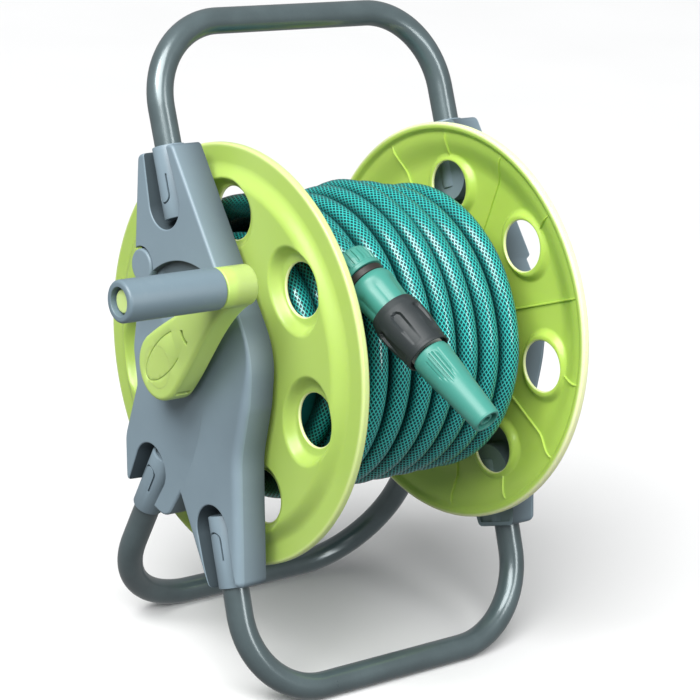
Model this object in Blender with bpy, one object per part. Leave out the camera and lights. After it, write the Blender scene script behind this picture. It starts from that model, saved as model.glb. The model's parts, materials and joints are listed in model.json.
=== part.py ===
"""Free-standing garden hose reel.

Three U-shaped steel tubes (carrying handle, front foot and rear foot) plug into two moulded side
plates. A reel of two holed flanges on a drum turns between the plates, driven by a hand crank. Its
hose ends in a quick connector with a twist nozzle. Water comes in through a swivelling elbow.

Units are metres, +Z is up. The reel's axis runs along X, the crank is on the -X side and the front
is on the -Y side. Pieces are built about the middle of the reel's axis and hang on one empty, which
puts the stand on Z = 0 with the origin under the middle of the whole object's box.
"""
import math
from dataclasses import dataclass

import bmesh
import bpy
import numpy as np
from mathutils import Matrix, Vector

for leftover in list(bpy.data.objects):
    bpy.data.objects.remove(leftover, do_unlink=True)

# Clearances
GAP = 0.0003
CUT = 0.002            # how far a cutter runs past the surface that it opens
SAME_POINT = 0.000004  # points closer than this after a cut are one point

# Reel flanges and drum: distances along X are measured outwards from the middle of the reel
FLANGE_RADIUS = 0.150
RIM_INNER_X = 0.0972
RIM_OUTER_X = 0.1033
RIM_LIP = 0.0035       # radial thickness of the rim's lip
RIM_STEPS = 36
DRUM_STEPS = 24
WEB_THICKNESS = 0.0027
WEB_OUTER_X = 0.1105   # the raised web lies further out than the rim
WEB_RADIUS = 0.1288    # where the raised web ends
BAND_RADIUS = 0.1325   # where the flat band by the rim starts
HUB_PAD = 0.0004       # how much thicker the flange is about the drum
DISH_RADIUS = 0.0262   # each hole lies in a dish that reaches back to the rim's plane
DISH_LIP = 0.0025
DISH_FLOOR_X = 0.1025
RIB_THICKNESS = 0.0016
HOLE_COUNT = 7
HOLE_RADIUS = 0.01875
HOLE_CIRCLE = 0.102
HOLE_SIDES = 10
CRANK_SIDE_HOLE_ANGLE = 93.5
FAR_SIDE_HOLE_ANGLE = 99.2
DRUM_RADIUS = 0.050
DRUM_WALL = 0.0025
JOURNAL_RADIUS = 0.015
JOURNAL_BORE = 0.0115
DRIVE_SIZE = 0.013     # square drive across its flats
DRIVE_LENGTH = 0.013
POST_CIRCLE = 0.033
POST_RADIUS = 0.0058
POST_BORE = 0.0042
POST_END_WALL = 0.004
POST_ANGLES = (30.0, 150.0, 270.0)
SCREW_RADIUS = 0.0018
SCREW_HEAD_RADIUS = 0.0036
SCREW_HEAD_HEIGHT = 0.0022
SCREW_GRIP = 0.014     # thread length in the second half drum

# Hose: outer layer wound over a plain core of inner layers
HOSE_RADIUS = 0.0085
HOSE_SIDES = 6
LAYER_RADIUS = 0.0985  # centre line of the outer layer
LOOP_POINTS = 24
LOOP_X = (0.0700, 0.0480, 0.0295, 0.0118, -0.0060, -0.0260, -0.0476, -0.0660, -0.0875)
LEAD_TURNS = 0.45      # part turn that climbs from the inner layer at the far flange
LEAD_X = 0.0800
LEAD_DROP = 0.0045
SWAY_LEAST = 0.0022    # half the side sway of one turn, larger near SWAY_X
SWAY_EXTRA = 0.0045
SWAY_X = 0.045
SWAY_WIDTH = 0.038
BULGE_HEIGHT = 0.0080  # how far the layer stands up over a crossing of the layer below
BULGE_ANGLE = 112.0
BULGE_SPREAD = 45.0
BULGE_X = 0.012
BULGE_WIDTH = 0.026
LOOP_START_ANGLE = 120.0
TAIL_RISE_ANGLE = 178.0  # where the hose end starts to stand off the layer

# Nozzle and connector: the axis starts at the hose end of the nut
NOZZLE_X = -0.0723
NOZZLE_STANDOFF = 0.0240  # how far the nut's hose end lies outside the layer's centre line
NOZZLE_ANGLE = math.radians(46.125)
NOZZLE_RADIUS = LAYER_RADIUS + NOZZLE_STANDOFF
NOZZLE_START = Vector((NOZZLE_X, -NOZZLE_RADIUS * math.cos(NOZZLE_ANGLE),
                       NOZZLE_RADIUS * math.sin(NOZZLE_ANGLE)))
NOZZLE_TIP = NOZZLE_START + Vector((0.0196, -0.1307, -0.0770))
NUT_LENGTH = 0.0171
HOSE_INSERT = 0.0130
RING_LENGTH = 0.0052
BODY_RADIUS = 0.0166
BODY_END_RADIUS = 0.0149
NECK_RADIUS = 0.0122
COLLAR_START = 0.0498
COLLAR_LENGTH = 0.0405
COLLAR_TRAVEL = 0.004
STEM_RADIUS = 0.0079
STEM_BORE = 0.0035
BARREL_RADIUS = 0.0135
BARREL_TIP_RADIUS = 0.0098
ORIFICE_RADIUS = 0.003
STEM_NOSE_RADIUS = 0.0055

# Frame tubes
TUBE_RADIUS = 0.0095
TUBE_WALL = 0.0012
TUBE_SIDES = 12
LEG_X = 0.1279
BEND_STEPS = 4

# Sockets of the side plates
SOCKET_RADIUS = 0.0116
SOCKET_LENGTH = 0.051
SOCKET_FLOOR = 0.0025
TONGUE_HALF_WIDTH = 0.0050
TONGUE_LENGTH = 0.020
SLIT_WIDTH = 0.0012
TONGUE_FROM_FLOOR = 0.017
LUG_RADIUS = 0.0028
POCKET_RADIUS = 0.0185
POCKET_FLOOR_X = 0.1180

# Side plates
PLATE_BACK_X = 0.1160
PLATE_FACE_X = 0.1405
PLATE_WALL = 0.0030
PLATE_EDGE = 0.0030
JOURNAL_PROUD = 0.0032  # how far the crank-side journal stands out of the plate
CRANK_JOURNAL_END = PLATE_FACE_X + JOURNAL_PROUD
HUB_BOSS_RADIUS = 0.0235
HUB_RECESS_RADIUS = 0.0705
HUB_RECESS_DEPTH = 0.0034
REAR_STEP = 0.0022     # how much lower the rear leg's face lies
EAR_RADIUS = 0.0122
EAR_CENTRE = (0.0600, 0.0540)
BUSH_WALL = 0.0027
BUSH_COLLAR_RADIUS = 0.0220

# Crank: the arm's frame runs from the reel's axis towards the grip
CRANK_BACK_X = CRANK_JOURNAL_END + 0.0028
CRANK_THICKNESS = 0.0180
CRANK_LENGTH = 0.1051
CRANK_ANGLE = 46.6
CRANK_HUB_RADIUS = 0.0240
CRANK_BOSS_RADIUS = 0.0138
CRANK_BOSS_LENGTH = 0.0250
CAP_RADIUS = 0.0150
CAP_THICKNESS = 0.0022
CRANK_SCREW_WALL = 0.0024
SPINDLE_RADIUS = 0.0070
GRIP_RADIUS = 0.0141
GRIP_LENGTH = 0.0757
GRIP_RECESS = 0.0075
RETAINER_RADIUS = 0.0078

# Water inlet on the far side
STUB_RADIUS = 0.0081
WATER_BORE = 0.0050
HUB_TUBE_END = 0.0620
FAR_JOURNAL_END = PLATE_FACE_X - 0.0010
SEAL_WIDTH = 0.0022
SEAL_POSITIONS = (0.0780, 0.0900)
CLIP_THICKNESS = 0.0012
ELBOW_X = FAR_JOURNAL_END + 0.0145
ELBOW_RADIUS = 0.0094
ELBOW_BEND = 0.0100
ELBOW_STEPS = 4
ELBOW_DROP = 0.0340
NIPPLE_LENGTH = 0.0360
NIPPLE_RADIUS = 0.0079
NIPPLE_NUT_RADIUS = 0.0120
FEED_ANGLE = 90.0


@dataclass
class Leg:
    """One U tube: where its bar lies across the reel's axis, and how its sockets sit on it."""
    name: str
    bar: tuple
    lean: float          # degrees from straight up or down, positive towards +Y
    up: float            # 1 for the handle, -1 for a foot
    bend: float
    socket: float        # distance of the socket's floor from the axis
    pocket: float        # distance of the pocket's round end centre
    pocket_mouth: float  # half width of the pocket at the end of the plate's arm
    mouth: float         # distance of the plate's end

    def along(self):
        """Unit direction of the leg in (y, z), pointing away from the reel's axis."""
        tilt = math.radians(self.lean)
        return np.array((math.sin(tilt), self.up * math.cos(tilt)))

    def across(self):
        """Unit direction square to the leg in (y, z)."""
        along = self.along()
        return np.array((-along[1], along[0]))

    def point(self, distance, offset=0.0):
        """(y, z) of a place by its distance along the leg and its offset across it."""
        side = self.across()
        return distance * self.along() + (np.dot(self.bar, side) + offset) * side

    def bar_distance(self):
        """How far the bar's centre lies along the leg."""
        return float(np.dot(self.bar, self.along()))


HANDLE = Leg("handle_tube", (0.0880, 0.2200), 23.75, 1.0, 0.0600, 0.0995, 0.111, 0.0135, 0.1485)
FRONT = Leg("front_foot_tube", (-0.0870, -0.2268), -21.0, -1.0, 0.0635, 0.1090, 0.119, 0.0165, 0.1600)
REAR = Leg("rear_foot_tube", (0.1004, -0.2268), 25.0, -1.0, 0.0740, 0.0860, 0.098, 0.0155, 0.1240)
LEGS = (HANDLE, FRONT, REAR)

# Side plate outline as (y, z, corner radius), from the handle's corner round the front
PLATE_CORNERS = (
    (0.0725, 0.1310, 0.005), (0.0325, 0.1480, 0.005), (-0.0690, 0.0235, 0.066),
    (-0.0690, -0.0140, 0.050), (-0.0640, -0.0520, 0.060), (-0.0765, -0.1420, 0.005),
    (-0.0400, -0.1560, 0.004), (-0.0005, -0.0940, 0.003), (0.0140, -0.1255, 0.008),
    (0.0655, -0.1075, 0.004), (0.0700, -0.0760, 0.025), (0.0585, -0.0330, 0.012),
    (0.0668, -0.0080, 0.030),
)
# The crease beyond which the rear leg's face is lower, and a loop round that leg
REAR_FACE = ((-0.0060, -0.0600), (0.0900, -0.0300), (0.1000, -0.1500), (0.0050, -0.1500),
             (-0.0020, -0.0935))

LIME = (0.42, 0.66, 0.07, 1.0)
GREY_BLUE = (0.20, 0.27, 0.31, 1.0)
TUBE_GREY = (0.13, 0.17, 0.17, 1.0)
TEAL = (0.03, 0.38, 0.28, 1.0)
HOSE_GREEN = (0.03, 0.30, 0.26, 1.0)
SOFT_GREY = (0.07, 0.08, 0.085, 1.0)
WHITE_PLASTIC = (0.75, 0.75, 0.72, 1.0)
BLACK_RUBBER = (0.02, 0.02, 0.02, 1.0)
ZINC = (0.60, 0.60, 0.58, 1.0)


def finish(name, colour, roughness, metallic=0.0):
    """A plain Principled material."""
    material = bpy.data.materials.new(name)
    material.use_nodes = True
    shader = material.node_tree.nodes["Principled BSDF"]
    shader.inputs["Base Color"].default_value = colour
    shader.inputs["Roughness"].default_value = roughness
    shader.inputs["Metallic"].default_value = metallic
    return material


LIME_PLASTIC = finish("lime_plastic", LIME, 0.35)
PLATE_PLASTIC = finish("plate_plastic", GREY_BLUE, 0.5)
PAINTED_TUBE = finish("painted_tube", TUBE_GREY, 0.35, 0.6)
TEAL_PLASTIC = finish("teal_plastic", TEAL, 0.4)
HOSE_PVC = finish("hose_pvc", HOSE_GREEN, 0.35)
SOFT_RUBBER = finish("soft_rubber", SOFT_GREY, 0.7)
BEARING_PLASTIC = finish("bearing_plastic", WHITE_PLASTIC, 0.5)
SEAL_RUBBER = finish("seal_rubber", BLACK_RUBBER, 0.7)
ZINC_STEEL = finish("zinc_steel", ZINC, 0.35, 1.0)


def mesh_object(name, shape, material):
    """Turn a bmesh into an object, with its faces pointing out and smooth round sides."""
    bmesh.ops.recalc_face_normals(shape, faces=shape.faces[:])
    mesh = bpy.data.meshes.new(name)
    shape.to_mesh(mesh)
    shape.free()
    mesh.materials.append(material)
    made = bpy.data.objects.new(name, mesh)
    bpy.context.collection.objects.link(made)
    return made


def combine(target, other, operation):
    """Join, cut or keep the common part of target and other. The other object is used up."""
    step = target.modifiers.new("shape", "BOOLEAN")
    step.operation = operation
    step.solver = "EXACT"
    step.object = other
    graph = bpy.context.evaluated_depsgraph_get()
    shaped = bpy.data.meshes.new_from_object(target.evaluated_get(graph))
    target.modifiers.clear()
    target.data = shaped
    bpy.data.objects.remove(other, do_unlink=True)
    tidy = bmesh.new()
    tidy.from_mesh(shaped)
    bmesh.ops.remove_doubles(tidy, verts=tidy.verts[:], dist=SAME_POINT)
    bmesh.ops.dissolve_degenerate(tidy, edges=tidy.edges[:], dist=SAME_POINT)
    tidy.to_mesh(shaped)
    tidy.free()


def join(target, *others):
    """Add other solids to the target."""
    for other in others:
        combine(target, other, "UNION")


def cut(target, *others):
    """Take other solids away from the target."""
    for other in others:
        combine(target, other, "DIFFERENCE")


def turned(name, profile, steps, material, side=1.0):
    """A solid turned about the X axis from (radius, x) points.

    A profile whose first and last points lie on the axis is open there. Any other is a closed loop.
    """
    shape = bmesh.new()
    points = [shape.verts.new((side * x, 0.0, radius)) for radius, x in profile]
    on_axis = profile[0][0] == 0.0 and profile[-1][0] == 0.0
    pairs = list(zip(points, points[1:]))
    if not on_axis:
        pairs.append((points[-1], points[0]))
    edges = [shape.edges.new(pair) for pair in pairs]
    bmesh.ops.spin(shape, geom=points + edges, cent=(0, 0, 0), axis=(1, 0, 0),
                   angle=2.0 * math.pi, steps=steps, use_merge=True, use_duplicate=False)
    bmesh.ops.remove_doubles(shape, verts=shape.verts[:], dist=1e-6)
    return mesh_object(name, shape, material)


def rod(x_start, x_end, radius, steps=16, centre=(0.0, 0.0)):
    """A plain cylinder along X, used to add to or cut from another solid."""
    shape = bmesh.new()
    place = Matrix.Translation(((x_start + x_end) / 2, centre[0], centre[1]))
    place = place @ Matrix.Rotation(math.pi / 2, 4, "Y")
    bmesh.ops.create_cone(shape, cap_ends=True, segments=steps, radius1=radius, radius2=radius,
                          depth=abs(x_end - x_start), matrix=place)
    return mesh_object("rod", shape, PLATE_PLASTIC)


def rod_between(start, end, radius, steps=16):
    """A plain cylinder between two points."""
    start, end = Vector(start), Vector(end)
    turn = (end - start).to_track_quat("Z", "Y").to_matrix().to_4x4()
    shape = bmesh.new()
    bmesh.ops.create_cone(shape, cap_ends=True, segments=steps, radius1=radius, radius2=radius,
                          depth=(end - start).length,
                          matrix=Matrix.Translation((start + end) / 2) @ turn)
    return mesh_object("rod", shape, PLATE_PLASTIC)


def rounded_outline(corners, step=math.radians(28)):
    """Points of a closed outline whose corners are arcs, from (y, z, radius) corners."""
    outline = []
    count = len(corners)
    for index, (y, z, radius) in enumerate(corners):
        corner = np.array((y, z))
        before = np.array(corners[index - 1][:2]) - corner
        after = np.array(corners[(index + 1) % count][:2]) - corner
        before /= np.linalg.norm(before)
        after /= np.linalg.norm(after)
        opening = math.acos(max(-1.0, min(1.0, float(np.dot(before, after)))))
        turn = math.pi - opening
        middle = (before + after) / np.linalg.norm(before + after)
        centre = corner + middle * radius / math.sin(opening / 2)
        start = corner + before * radius / math.tan(opening / 2) - centre
        steps = max(2, math.ceil(turn / step))
        way = 1.0 if before[0] * after[1] - before[1] * after[0] < 0 else -1.0
        for part in range(steps + 1):
            angle = way * turn * part / steps
            cosine, sine = math.cos(angle), math.sin(angle)
            outline.append(centre + np.array((cosine * start[0] - sine * start[1],
                                              sine * start[0] + cosine * start[1])))
    return np.array(outline)


def inset_outline(outline, distance):
    """Move each point of a closed outline inwards along the mean normal of its two sides."""
    before = outline - np.roll(outline, 1, axis=0)
    after = np.roll(outline, -1, axis=0) - outline
    before /= np.linalg.norm(before, axis=1)[:, None]
    after /= np.linalg.norm(after, axis=1)[:, None]
    mean = before + after
    mean /= np.linalg.norm(mean, axis=1)[:, None]
    normal = np.stack((-mean[:, 1], mean[:, 0]), axis=1)
    area = np.sum(outline[:, 0] * np.roll(outline[:, 1], -1)
                  - np.roll(outline[:, 0], -1) * outline[:, 1])
    reach = distance / np.sum(normal * np.stack((-after[:, 1], after[:, 0]), axis=1), axis=1)
    return outline + normal * (reach * math.copysign(1.0, area))[:, None]


def prism(name, rings, material):
    """A solid through rings of (x, outline in y and z), capped at both ends."""
    shape = bmesh.new()
    loops = [[shape.verts.new((x, y, z)) for y, z in outline] for x, outline in rings]
    count = len(loops[0])
    for low, high in zip(loops, loops[1:]):
        for index in range(count):
            after = (index + 1) % count
            shape.faces.new((low[index], low[after], high[after], high[index]))
    shape.faces.new(loops[0])
    shape.faces.new(loops[-1][::-1])
    return mesh_object(name, shape, material)


def pocket_outline(leg, wall):
    """Outline of a pocket in the plate's face: round towards the hub, open at the arm's end."""
    radius, mouth = POCKET_RADIUS + wall, leg.pocket_mouth + wall
    outline = []
    for angle in np.linspace(-100.0, 100.0, 11):
        turn = math.radians(angle)
        outline.append(leg.point(leg.pocket - radius * math.cos(turn), radius * math.sin(turn)))
    outline += [leg.point(leg.mouth + 4 * CUT, mouth), leg.point(leg.mouth + 4 * CUT, -mouth)]
    return outline


def slit_outline(leg):
    """Outline of the U-shaped slit round a socket's snap tongue, its free end towards the hub."""
    start = leg.socket + TONGUE_FROM_FLOOR
    outer = TONGUE_HALF_WIDTH + SLIT_WIDTH
    angles = np.radians(np.linspace(-90.0, 90.0, 5))
    outside = [leg.point(start - outer * math.cos(a), outer * math.sin(a)) for a in angles]
    inside = [leg.point(start - TONGUE_HALF_WIDTH * math.cos(a), TONGUE_HALF_WIDTH * math.sin(a))
              for a in angles]
    far = start + TONGUE_LENGTH
    return ([leg.point(far, -outer)] + outside + [leg.point(far, outer)]
            + [leg.point(far, TONGUE_HALF_WIDTH)] + inside[::-1]
            + [leg.point(far, -TONGUE_HALF_WIDTH)])


def lug_distance(leg):
    """How far along the leg the snap lug sits."""
    return leg.socket + TONGUE_FROM_FLOOR


def u_tube(leg):
    """One bent frame tube, with a hole near each end for the snap lug."""
    bar = leg.bar_distance()
    start = leg.socket + SOCKET_FLOOR + GAP
    path = [(-LEG_X, start)]
    for step in range(BEND_STEPS + 1):
        angle = math.pi / 2 * step / BEND_STEPS
        path.append((-LEG_X + leg.bend * (1 - math.cos(angle)),
                     bar - leg.bend * (1 - math.sin(angle))))
    path += [(-x, distance) for x, distance in reversed(path)]
    along, across = leg.along(), leg.across()
    down = math.atan2(-along[1], -across[1])
    first = down + math.pi / TUBE_SIDES
    shape = bmesh.new()
    walls = []
    for radius in (TUBE_RADIUS, TUBE_RADIUS - TUBE_WALL):
        rings = []
        for index, (x, distance) in enumerate(path):
            before, after = path[max(index - 1, 0)], path[min(index + 1, len(path) - 1)]
            way = np.array((after[0] - before[0], after[1] - before[1]))
            way /= np.linalg.norm(way)
            y, z = leg.point(distance)
            ring = []
            for side in range(TUBE_SIDES):
                angle = first + 2 * math.pi * side / TUBE_SIDES
                flat, out = radius * math.cos(angle), radius * math.sin(angle)
                ring.append(shape.verts.new((x - out * way[1],
                                             y + flat * across[0] + out * way[0] * along[0],
                                             z + flat * across[1] + out * way[0] * along[1])))
            rings.append(ring)
        for low, high in zip(rings, rings[1:]):
            for side in range(TUBE_SIDES):
                after = (side + 1) % TUBE_SIDES
                shape.faces.new((low[side], low[after], high[after], high[side]))
        walls.append(rings)
    for end in (0, -1):
        for side in range(TUBE_SIDES):
            after = (side + 1) % TUBE_SIDES
            shape.faces.new((walls[0][end][side], walls[0][end][after],
                             walls[1][end][after], walls[1][end][side]))
    tube = mesh_object(leg.name, shape, PAINTED_TUBE)
    centre = leg.point(lug_distance(leg))
    for side in (-1, 1):
        cut(tube, rod(side * (LEG_X + TUBE_RADIUS / 2), side * (LEG_X + 2 * TUBE_RADIUS),
                      LUG_RADIUS + GAP, 8, centre))
    return tube


def side_plate(name, side, with_ear):
    """A side plate: a shell open towards the reel, with three tube sockets and a bearing seat."""
    outline = rounded_outline(PLATE_CORNERS)
    face = PLATE_FACE_X
    levels = ((PLATE_BACK_X, 0.0), (face - 0.7 * PLATE_EDGE, 0.0), (face, 0.7 * PLATE_EDGE))
    plate = prism(name, [(side * x, inset_outline(outline, inset)) for x, inset in levels],
                  PLATE_PLASTIC)
    cut(plate, hub_recess(side), rear_step(side))
    if with_ear:
        join(plate, rod(side * (PLATE_BACK_X + GAP), side * (face + 0.0008), EAR_RADIUS, 16,
                        EAR_CENTRE))
    hollow = prism("hollow", [(side * (PLATE_BACK_X - CUT), inset_outline(outline, PLATE_WALL)),
                              (side * (face - HUB_RECESS_DEPTH - PLATE_WALL),
                               inset_outline(outline, PLATE_WALL + GAP))], PLATE_PLASTIC)
    cut(hollow, rod(side * (PLATE_BACK_X - 2 * CUT), side * (face + 2 * CUT), HUB_BOSS_RADIUS, 20))
    for leg in LEGS:
        wall = pocket_outline(leg, PLATE_WALL)
        cut(hollow, prism("pocket", [(side * POCKET_FLOOR_X, wall), (side * face, wall)],
                          PLATE_PLASTIC))
    cut(plate, hollow)
    for leg in LEGS:
        window = pocket_outline(leg, 0.0)
        cut(plate, prism("window", [(side * (POCKET_FLOOR_X + PLATE_WALL), window),
                                    (side * (face + CUT), window)], PLATE_PLASTIC))
    for leg in LEGS:
        ends = [(side * LEG_X, *leg.point(distance))
                for distance in (leg.socket + 2 * GAP, leg.socket + SOCKET_LENGTH)]
        join(plate, rod_between(*ends, SOCKET_RADIUS, 16))
    for leg in LEGS:
        floor, far = leg.socket + SOCKET_FLOOR, leg.socket + SOCKET_LENGTH + CUT
        cut(plate, rod_between((side * LEG_X, *leg.point(floor)), (side * LEG_X, *leg.point(far)),
                               TUBE_RADIUS + GAP, 14))
        slit = slit_outline(leg)
        cut(plate, prism("slit", [(side * (LEG_X + 0.002), slit), (side * (face + CUT), slit)],
                         PLATE_PLASTIC))
        join(plate, rod(side * (LEG_X + TUBE_RADIUS - TUBE_WALL / 2),
                        side * (LEG_X + SOCKET_RADIUS - 0.0008), LUG_RADIUS, 8,
                        leg.point(lug_distance(leg))))
    bore = JOURNAL_RADIUS + GAP + BUSH_WALL + GAP
    cut(plate, rod(side * (PLATE_BACK_X - 2 * CUT), side * (face + 2 * CUT), bore, 20))
    return plate


def hub_recess(side):
    """Cutter for the round recess about the hub, deep at the top and running out at the bottom."""
    lean = math.atan2(HUB_RECESS_DEPTH, 1.9 * HUB_RECESS_RADIUS)
    cutter = rod(side * (PLATE_FACE_X - HUB_RECESS_DEPTH / 2), side * (PLATE_FACE_X + 0.02),
                 HUB_RECESS_RADIUS, 36)
    cutter.data.transform(Matrix.Translation((side * (PLATE_FACE_X - HUB_RECESS_DEPTH / 2), 0, 0))
                          @ Matrix.Rotation(side * -lean, 4, "Y")
                          @ Matrix.Translation((side * (HUB_RECESS_DEPTH / 2 - PLATE_FACE_X), 0, 0)))
    return cutter


def rear_step(side):
    """Cutter that lowers the face of the rear leg behind the crease of the front leg."""
    return prism("step", [(side * (PLATE_FACE_X - REAR_STEP), REAR_FACE),
                          (side * (PLATE_FACE_X + CUT), REAR_FACE)], PLATE_PLASTIC)


BAND_INNER_X = RIM_OUTER_X - WEB_THICKNESS
WEB_INNER_X = WEB_OUTER_X - WEB_THICKNESS
HUB_OUTER_X = WEB_OUTER_X + HUB_PAD
HUB_INNER_X = WEB_INNER_X - HUB_PAD


def rim_disc(side):
    """The flange's raised web, flat band and rolled rim, open in the middle for the drum."""
    inner = DRUM_RADIUS - 0.004
    profile = [(inner, WEB_OUTER_X), (WEB_RADIUS, WEB_OUTER_X), (BAND_RADIUS, RIM_OUTER_X),
               (FLANGE_RADIUS - 0.0014, RIM_OUTER_X), (FLANGE_RADIUS, RIM_OUTER_X - 0.0014),
               (FLANGE_RADIUS, RIM_INNER_X + 0.0014), (FLANGE_RADIUS - RIM_LIP + 0.0008, RIM_INNER_X),
               (FLANGE_RADIUS - RIM_LIP - 0.003, BAND_INNER_X), (BAND_RADIUS - 0.001, BAND_INNER_X),
               (WEB_RADIUS - 0.001, WEB_INNER_X), (inner, WEB_INNER_X)]
    return turned("rim", profile, RIM_STEPS, LIME_PLASTIC, side)


def half_drum_profile():
    """(radius, x) points from the hub pad's rim round the half drum to the hub pad's inside."""
    middle = (WEB_OUTER_X + WEB_INNER_X) / 2
    return [(JOURNAL_RADIUS, HUB_OUTER_X), (DRUM_RADIUS - 0.002, HUB_OUTER_X),
            (DRUM_RADIUS, middle), (DRUM_RADIUS, GAP / 2), (DRUM_RADIUS - DRUM_WALL, GAP / 2),
            (DRUM_RADIUS - DRUM_WALL, HUB_INNER_X), (JOURNAL_BORE, HUB_INNER_X)]


def polar(radius, angle):
    """(y, z) of a point by its radius and its angle in degrees from -Y towards +Z."""
    turn = math.radians(angle)
    return (-radius * math.cos(turn), radius * math.sin(turn))


def frustum(x_start, start_radius, x_end, end_radius, steps, centre):
    """A cone's slice along X, used to add to or cut from another solid."""
    shape = bmesh.new()
    place = Matrix.Translation(((x_start + x_end) / 2, centre[0], centre[1]))
    place = place @ Matrix.Rotation(math.copysign(math.pi / 2, x_end - x_start), 4, "Y")
    bmesh.ops.create_cone(shape, cap_ends=True, segments=steps, radius1=start_radius,
                          radius2=end_radius, depth=abs(x_end - x_start), matrix=place)
    return mesh_object("frustum", shape, LIME_PLASTIC)


def add_dishes(flange, side, first_angle):
    """Give a flange its ring of round holes, each at the bottom of a dish."""
    floor = HOLE_RADIUS + DISH_LIP
    slope = (DISH_RADIUS - floor) / (WEB_OUTER_X - DISH_FLOOR_X)
    for index in range(HOLE_COUNT):
        centre = polar(HOLE_CIRCLE, first_angle + 360.0 * index / HOLE_COUNT)
        join(flange, frustum(side * (WEB_INNER_X + GAP), DISH_RADIUS - 0.0006 + slope * GAP,
                             side * (DISH_FLOOR_X - WEB_THICKNESS), floor, HOLE_SIDES, centre))
        cut(flange, frustum(side * (WEB_OUTER_X + CUT), DISH_RADIUS + slope * CUT,
                            side * DISH_FLOOR_X, floor, HOLE_SIDES, centre))
        cut(flange, rod(side * (RIM_INNER_X - CUT), side * (WEB_OUTER_X + CUT), HOLE_RADIUS,
                        HOLE_SIDES, centre))


def add_ribs(flange, side, first_angle):
    """Thin ribs in the hollow behind the raised web, one between each two holes."""
    half = RIB_THICKNESS / 2
    for index in range(HOLE_COUNT):
        angle = math.radians(first_angle + 360.0 * (index + 0.5) / HOLE_COUNT)
        out = np.array((-math.cos(angle), math.sin(angle)))
        across = np.array((out[1], -out[0]))
        outline = [radius * out + offset * across
                   for radius, offset in ((DRUM_RADIUS - CUT, -half), (WEB_RADIUS, -half),
                                          (WEB_RADIUS, half), (DRUM_RADIUS - CUT, half))]
        join(flange, prism("rib", [(side * BAND_INNER_X, outline),
                                   (side * (WEB_INNER_X + GAP), outline)], LIME_PLASTIC))


def crank_side_flange():
    """The flange that the crank drives, with the journal, square drive and screw posts."""
    profile = ([(0.0, CRANK_JOURNAL_END), (JOURNAL_RADIUS, CRANK_JOURNAL_END)]
               + half_drum_profile()
               + [(JOURNAL_BORE, CRANK_JOURNAL_END - 0.004), (0.0, CRANK_JOURNAL_END - 0.004)])
    flange = turned("crank_side_flange", profile, DRUM_STEPS, LIME_PLASTIC, -1.0)
    join(flange, rim_disc(-1.0))
    half = DRIVE_SIZE / 2
    square = [(-half, -half), (half, -half), (half, half), (-half, half)]
    drive_end = CRANK_JOURNAL_END + DRIVE_LENGTH
    join(flange, prism("drive", [(-(CRANK_JOURNAL_END - CUT), square), (-drive_end, square)],
                       LIME_PLASTIC))
    cut(flange, rod(-(CRANK_JOURNAL_END - 0.006), -(drive_end + CUT), SCREW_RADIUS + GAP, 12))
    for angle in POST_ANGLES:
        centre = polar(POST_CIRCLE, angle)
        join(flange, rod(-GAP / 2, -(WEB_INNER_X + GAP), POST_RADIUS, 8, centre))
        cut(flange, rod(CUT, -(SCREW_GRIP + CUT), SCREW_RADIUS + GAP, 6, centre))
    add_dishes(flange, -1.0, CRANK_SIDE_HOLE_ANGLE)
    return flange


def far_side_flange():
    """The flange with the water bore, the screw shafts and the hole for the feed pipe."""
    bore = STUB_RADIUS + GAP
    profile = ([(bore, FAR_JOURNAL_END), (JOURNAL_RADIUS, FAR_JOURNAL_END)]
               + half_drum_profile()
               + [(JOURNAL_BORE, HUB_TUBE_END), (bore, HUB_TUBE_END)])
    flange = turned("far_side_flange", profile, DRUM_STEPS, LIME_PLASTIC)
    join(flange, rim_disc(1.0))
    for angle in POST_ANGLES:
        centre = polar(POST_CIRCLE, angle)
        join(flange, rod(GAP / 2, WEB_INNER_X + GAP, POST_RADIUS, 8, centre))
        cut(flange, rod(GAP / 2 + POST_END_WALL, WEB_OUTER_X + CUT, POST_BORE, 8, centre))
        cut(flange, rod(-CUT, POST_END_WALL + CUT, SCREW_RADIUS + GAP, 6, centre))
    outlet = polar(1.0, FEED_ANGLE)
    cut(flange, rod_between((feed_x(), 0.9 * DRUM_RADIUS * outlet[0], 0.9 * DRUM_RADIUS * outlet[1]),
                            (feed_x(), 1.1 * DRUM_RADIUS * outlet[0], 1.1 * DRUM_RADIUS * outlet[1]),
                            FEED_PIPE_RADIUS + GAP, 12))
    add_ribs(flange, 1.0, FAR_SIDE_HOLE_ANGLE)
    add_dishes(flange, 1.0, FAR_SIDE_HOLE_ANGLE)
    return flange


FEED_PIPE_RADIUS = 0.0052
FEED_PIPE_BORE = 0.0034
FEED_CUP_DEPTH = 0.0090
FEED_CUP_GRIP = 0.0100
FEED_WALL = 0.0026


def feed_x():
    """Where along X the feed pipe leaves its cup."""
    return HUB_TUBE_END - FEED_CUP_DEPTH / 2


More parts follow.
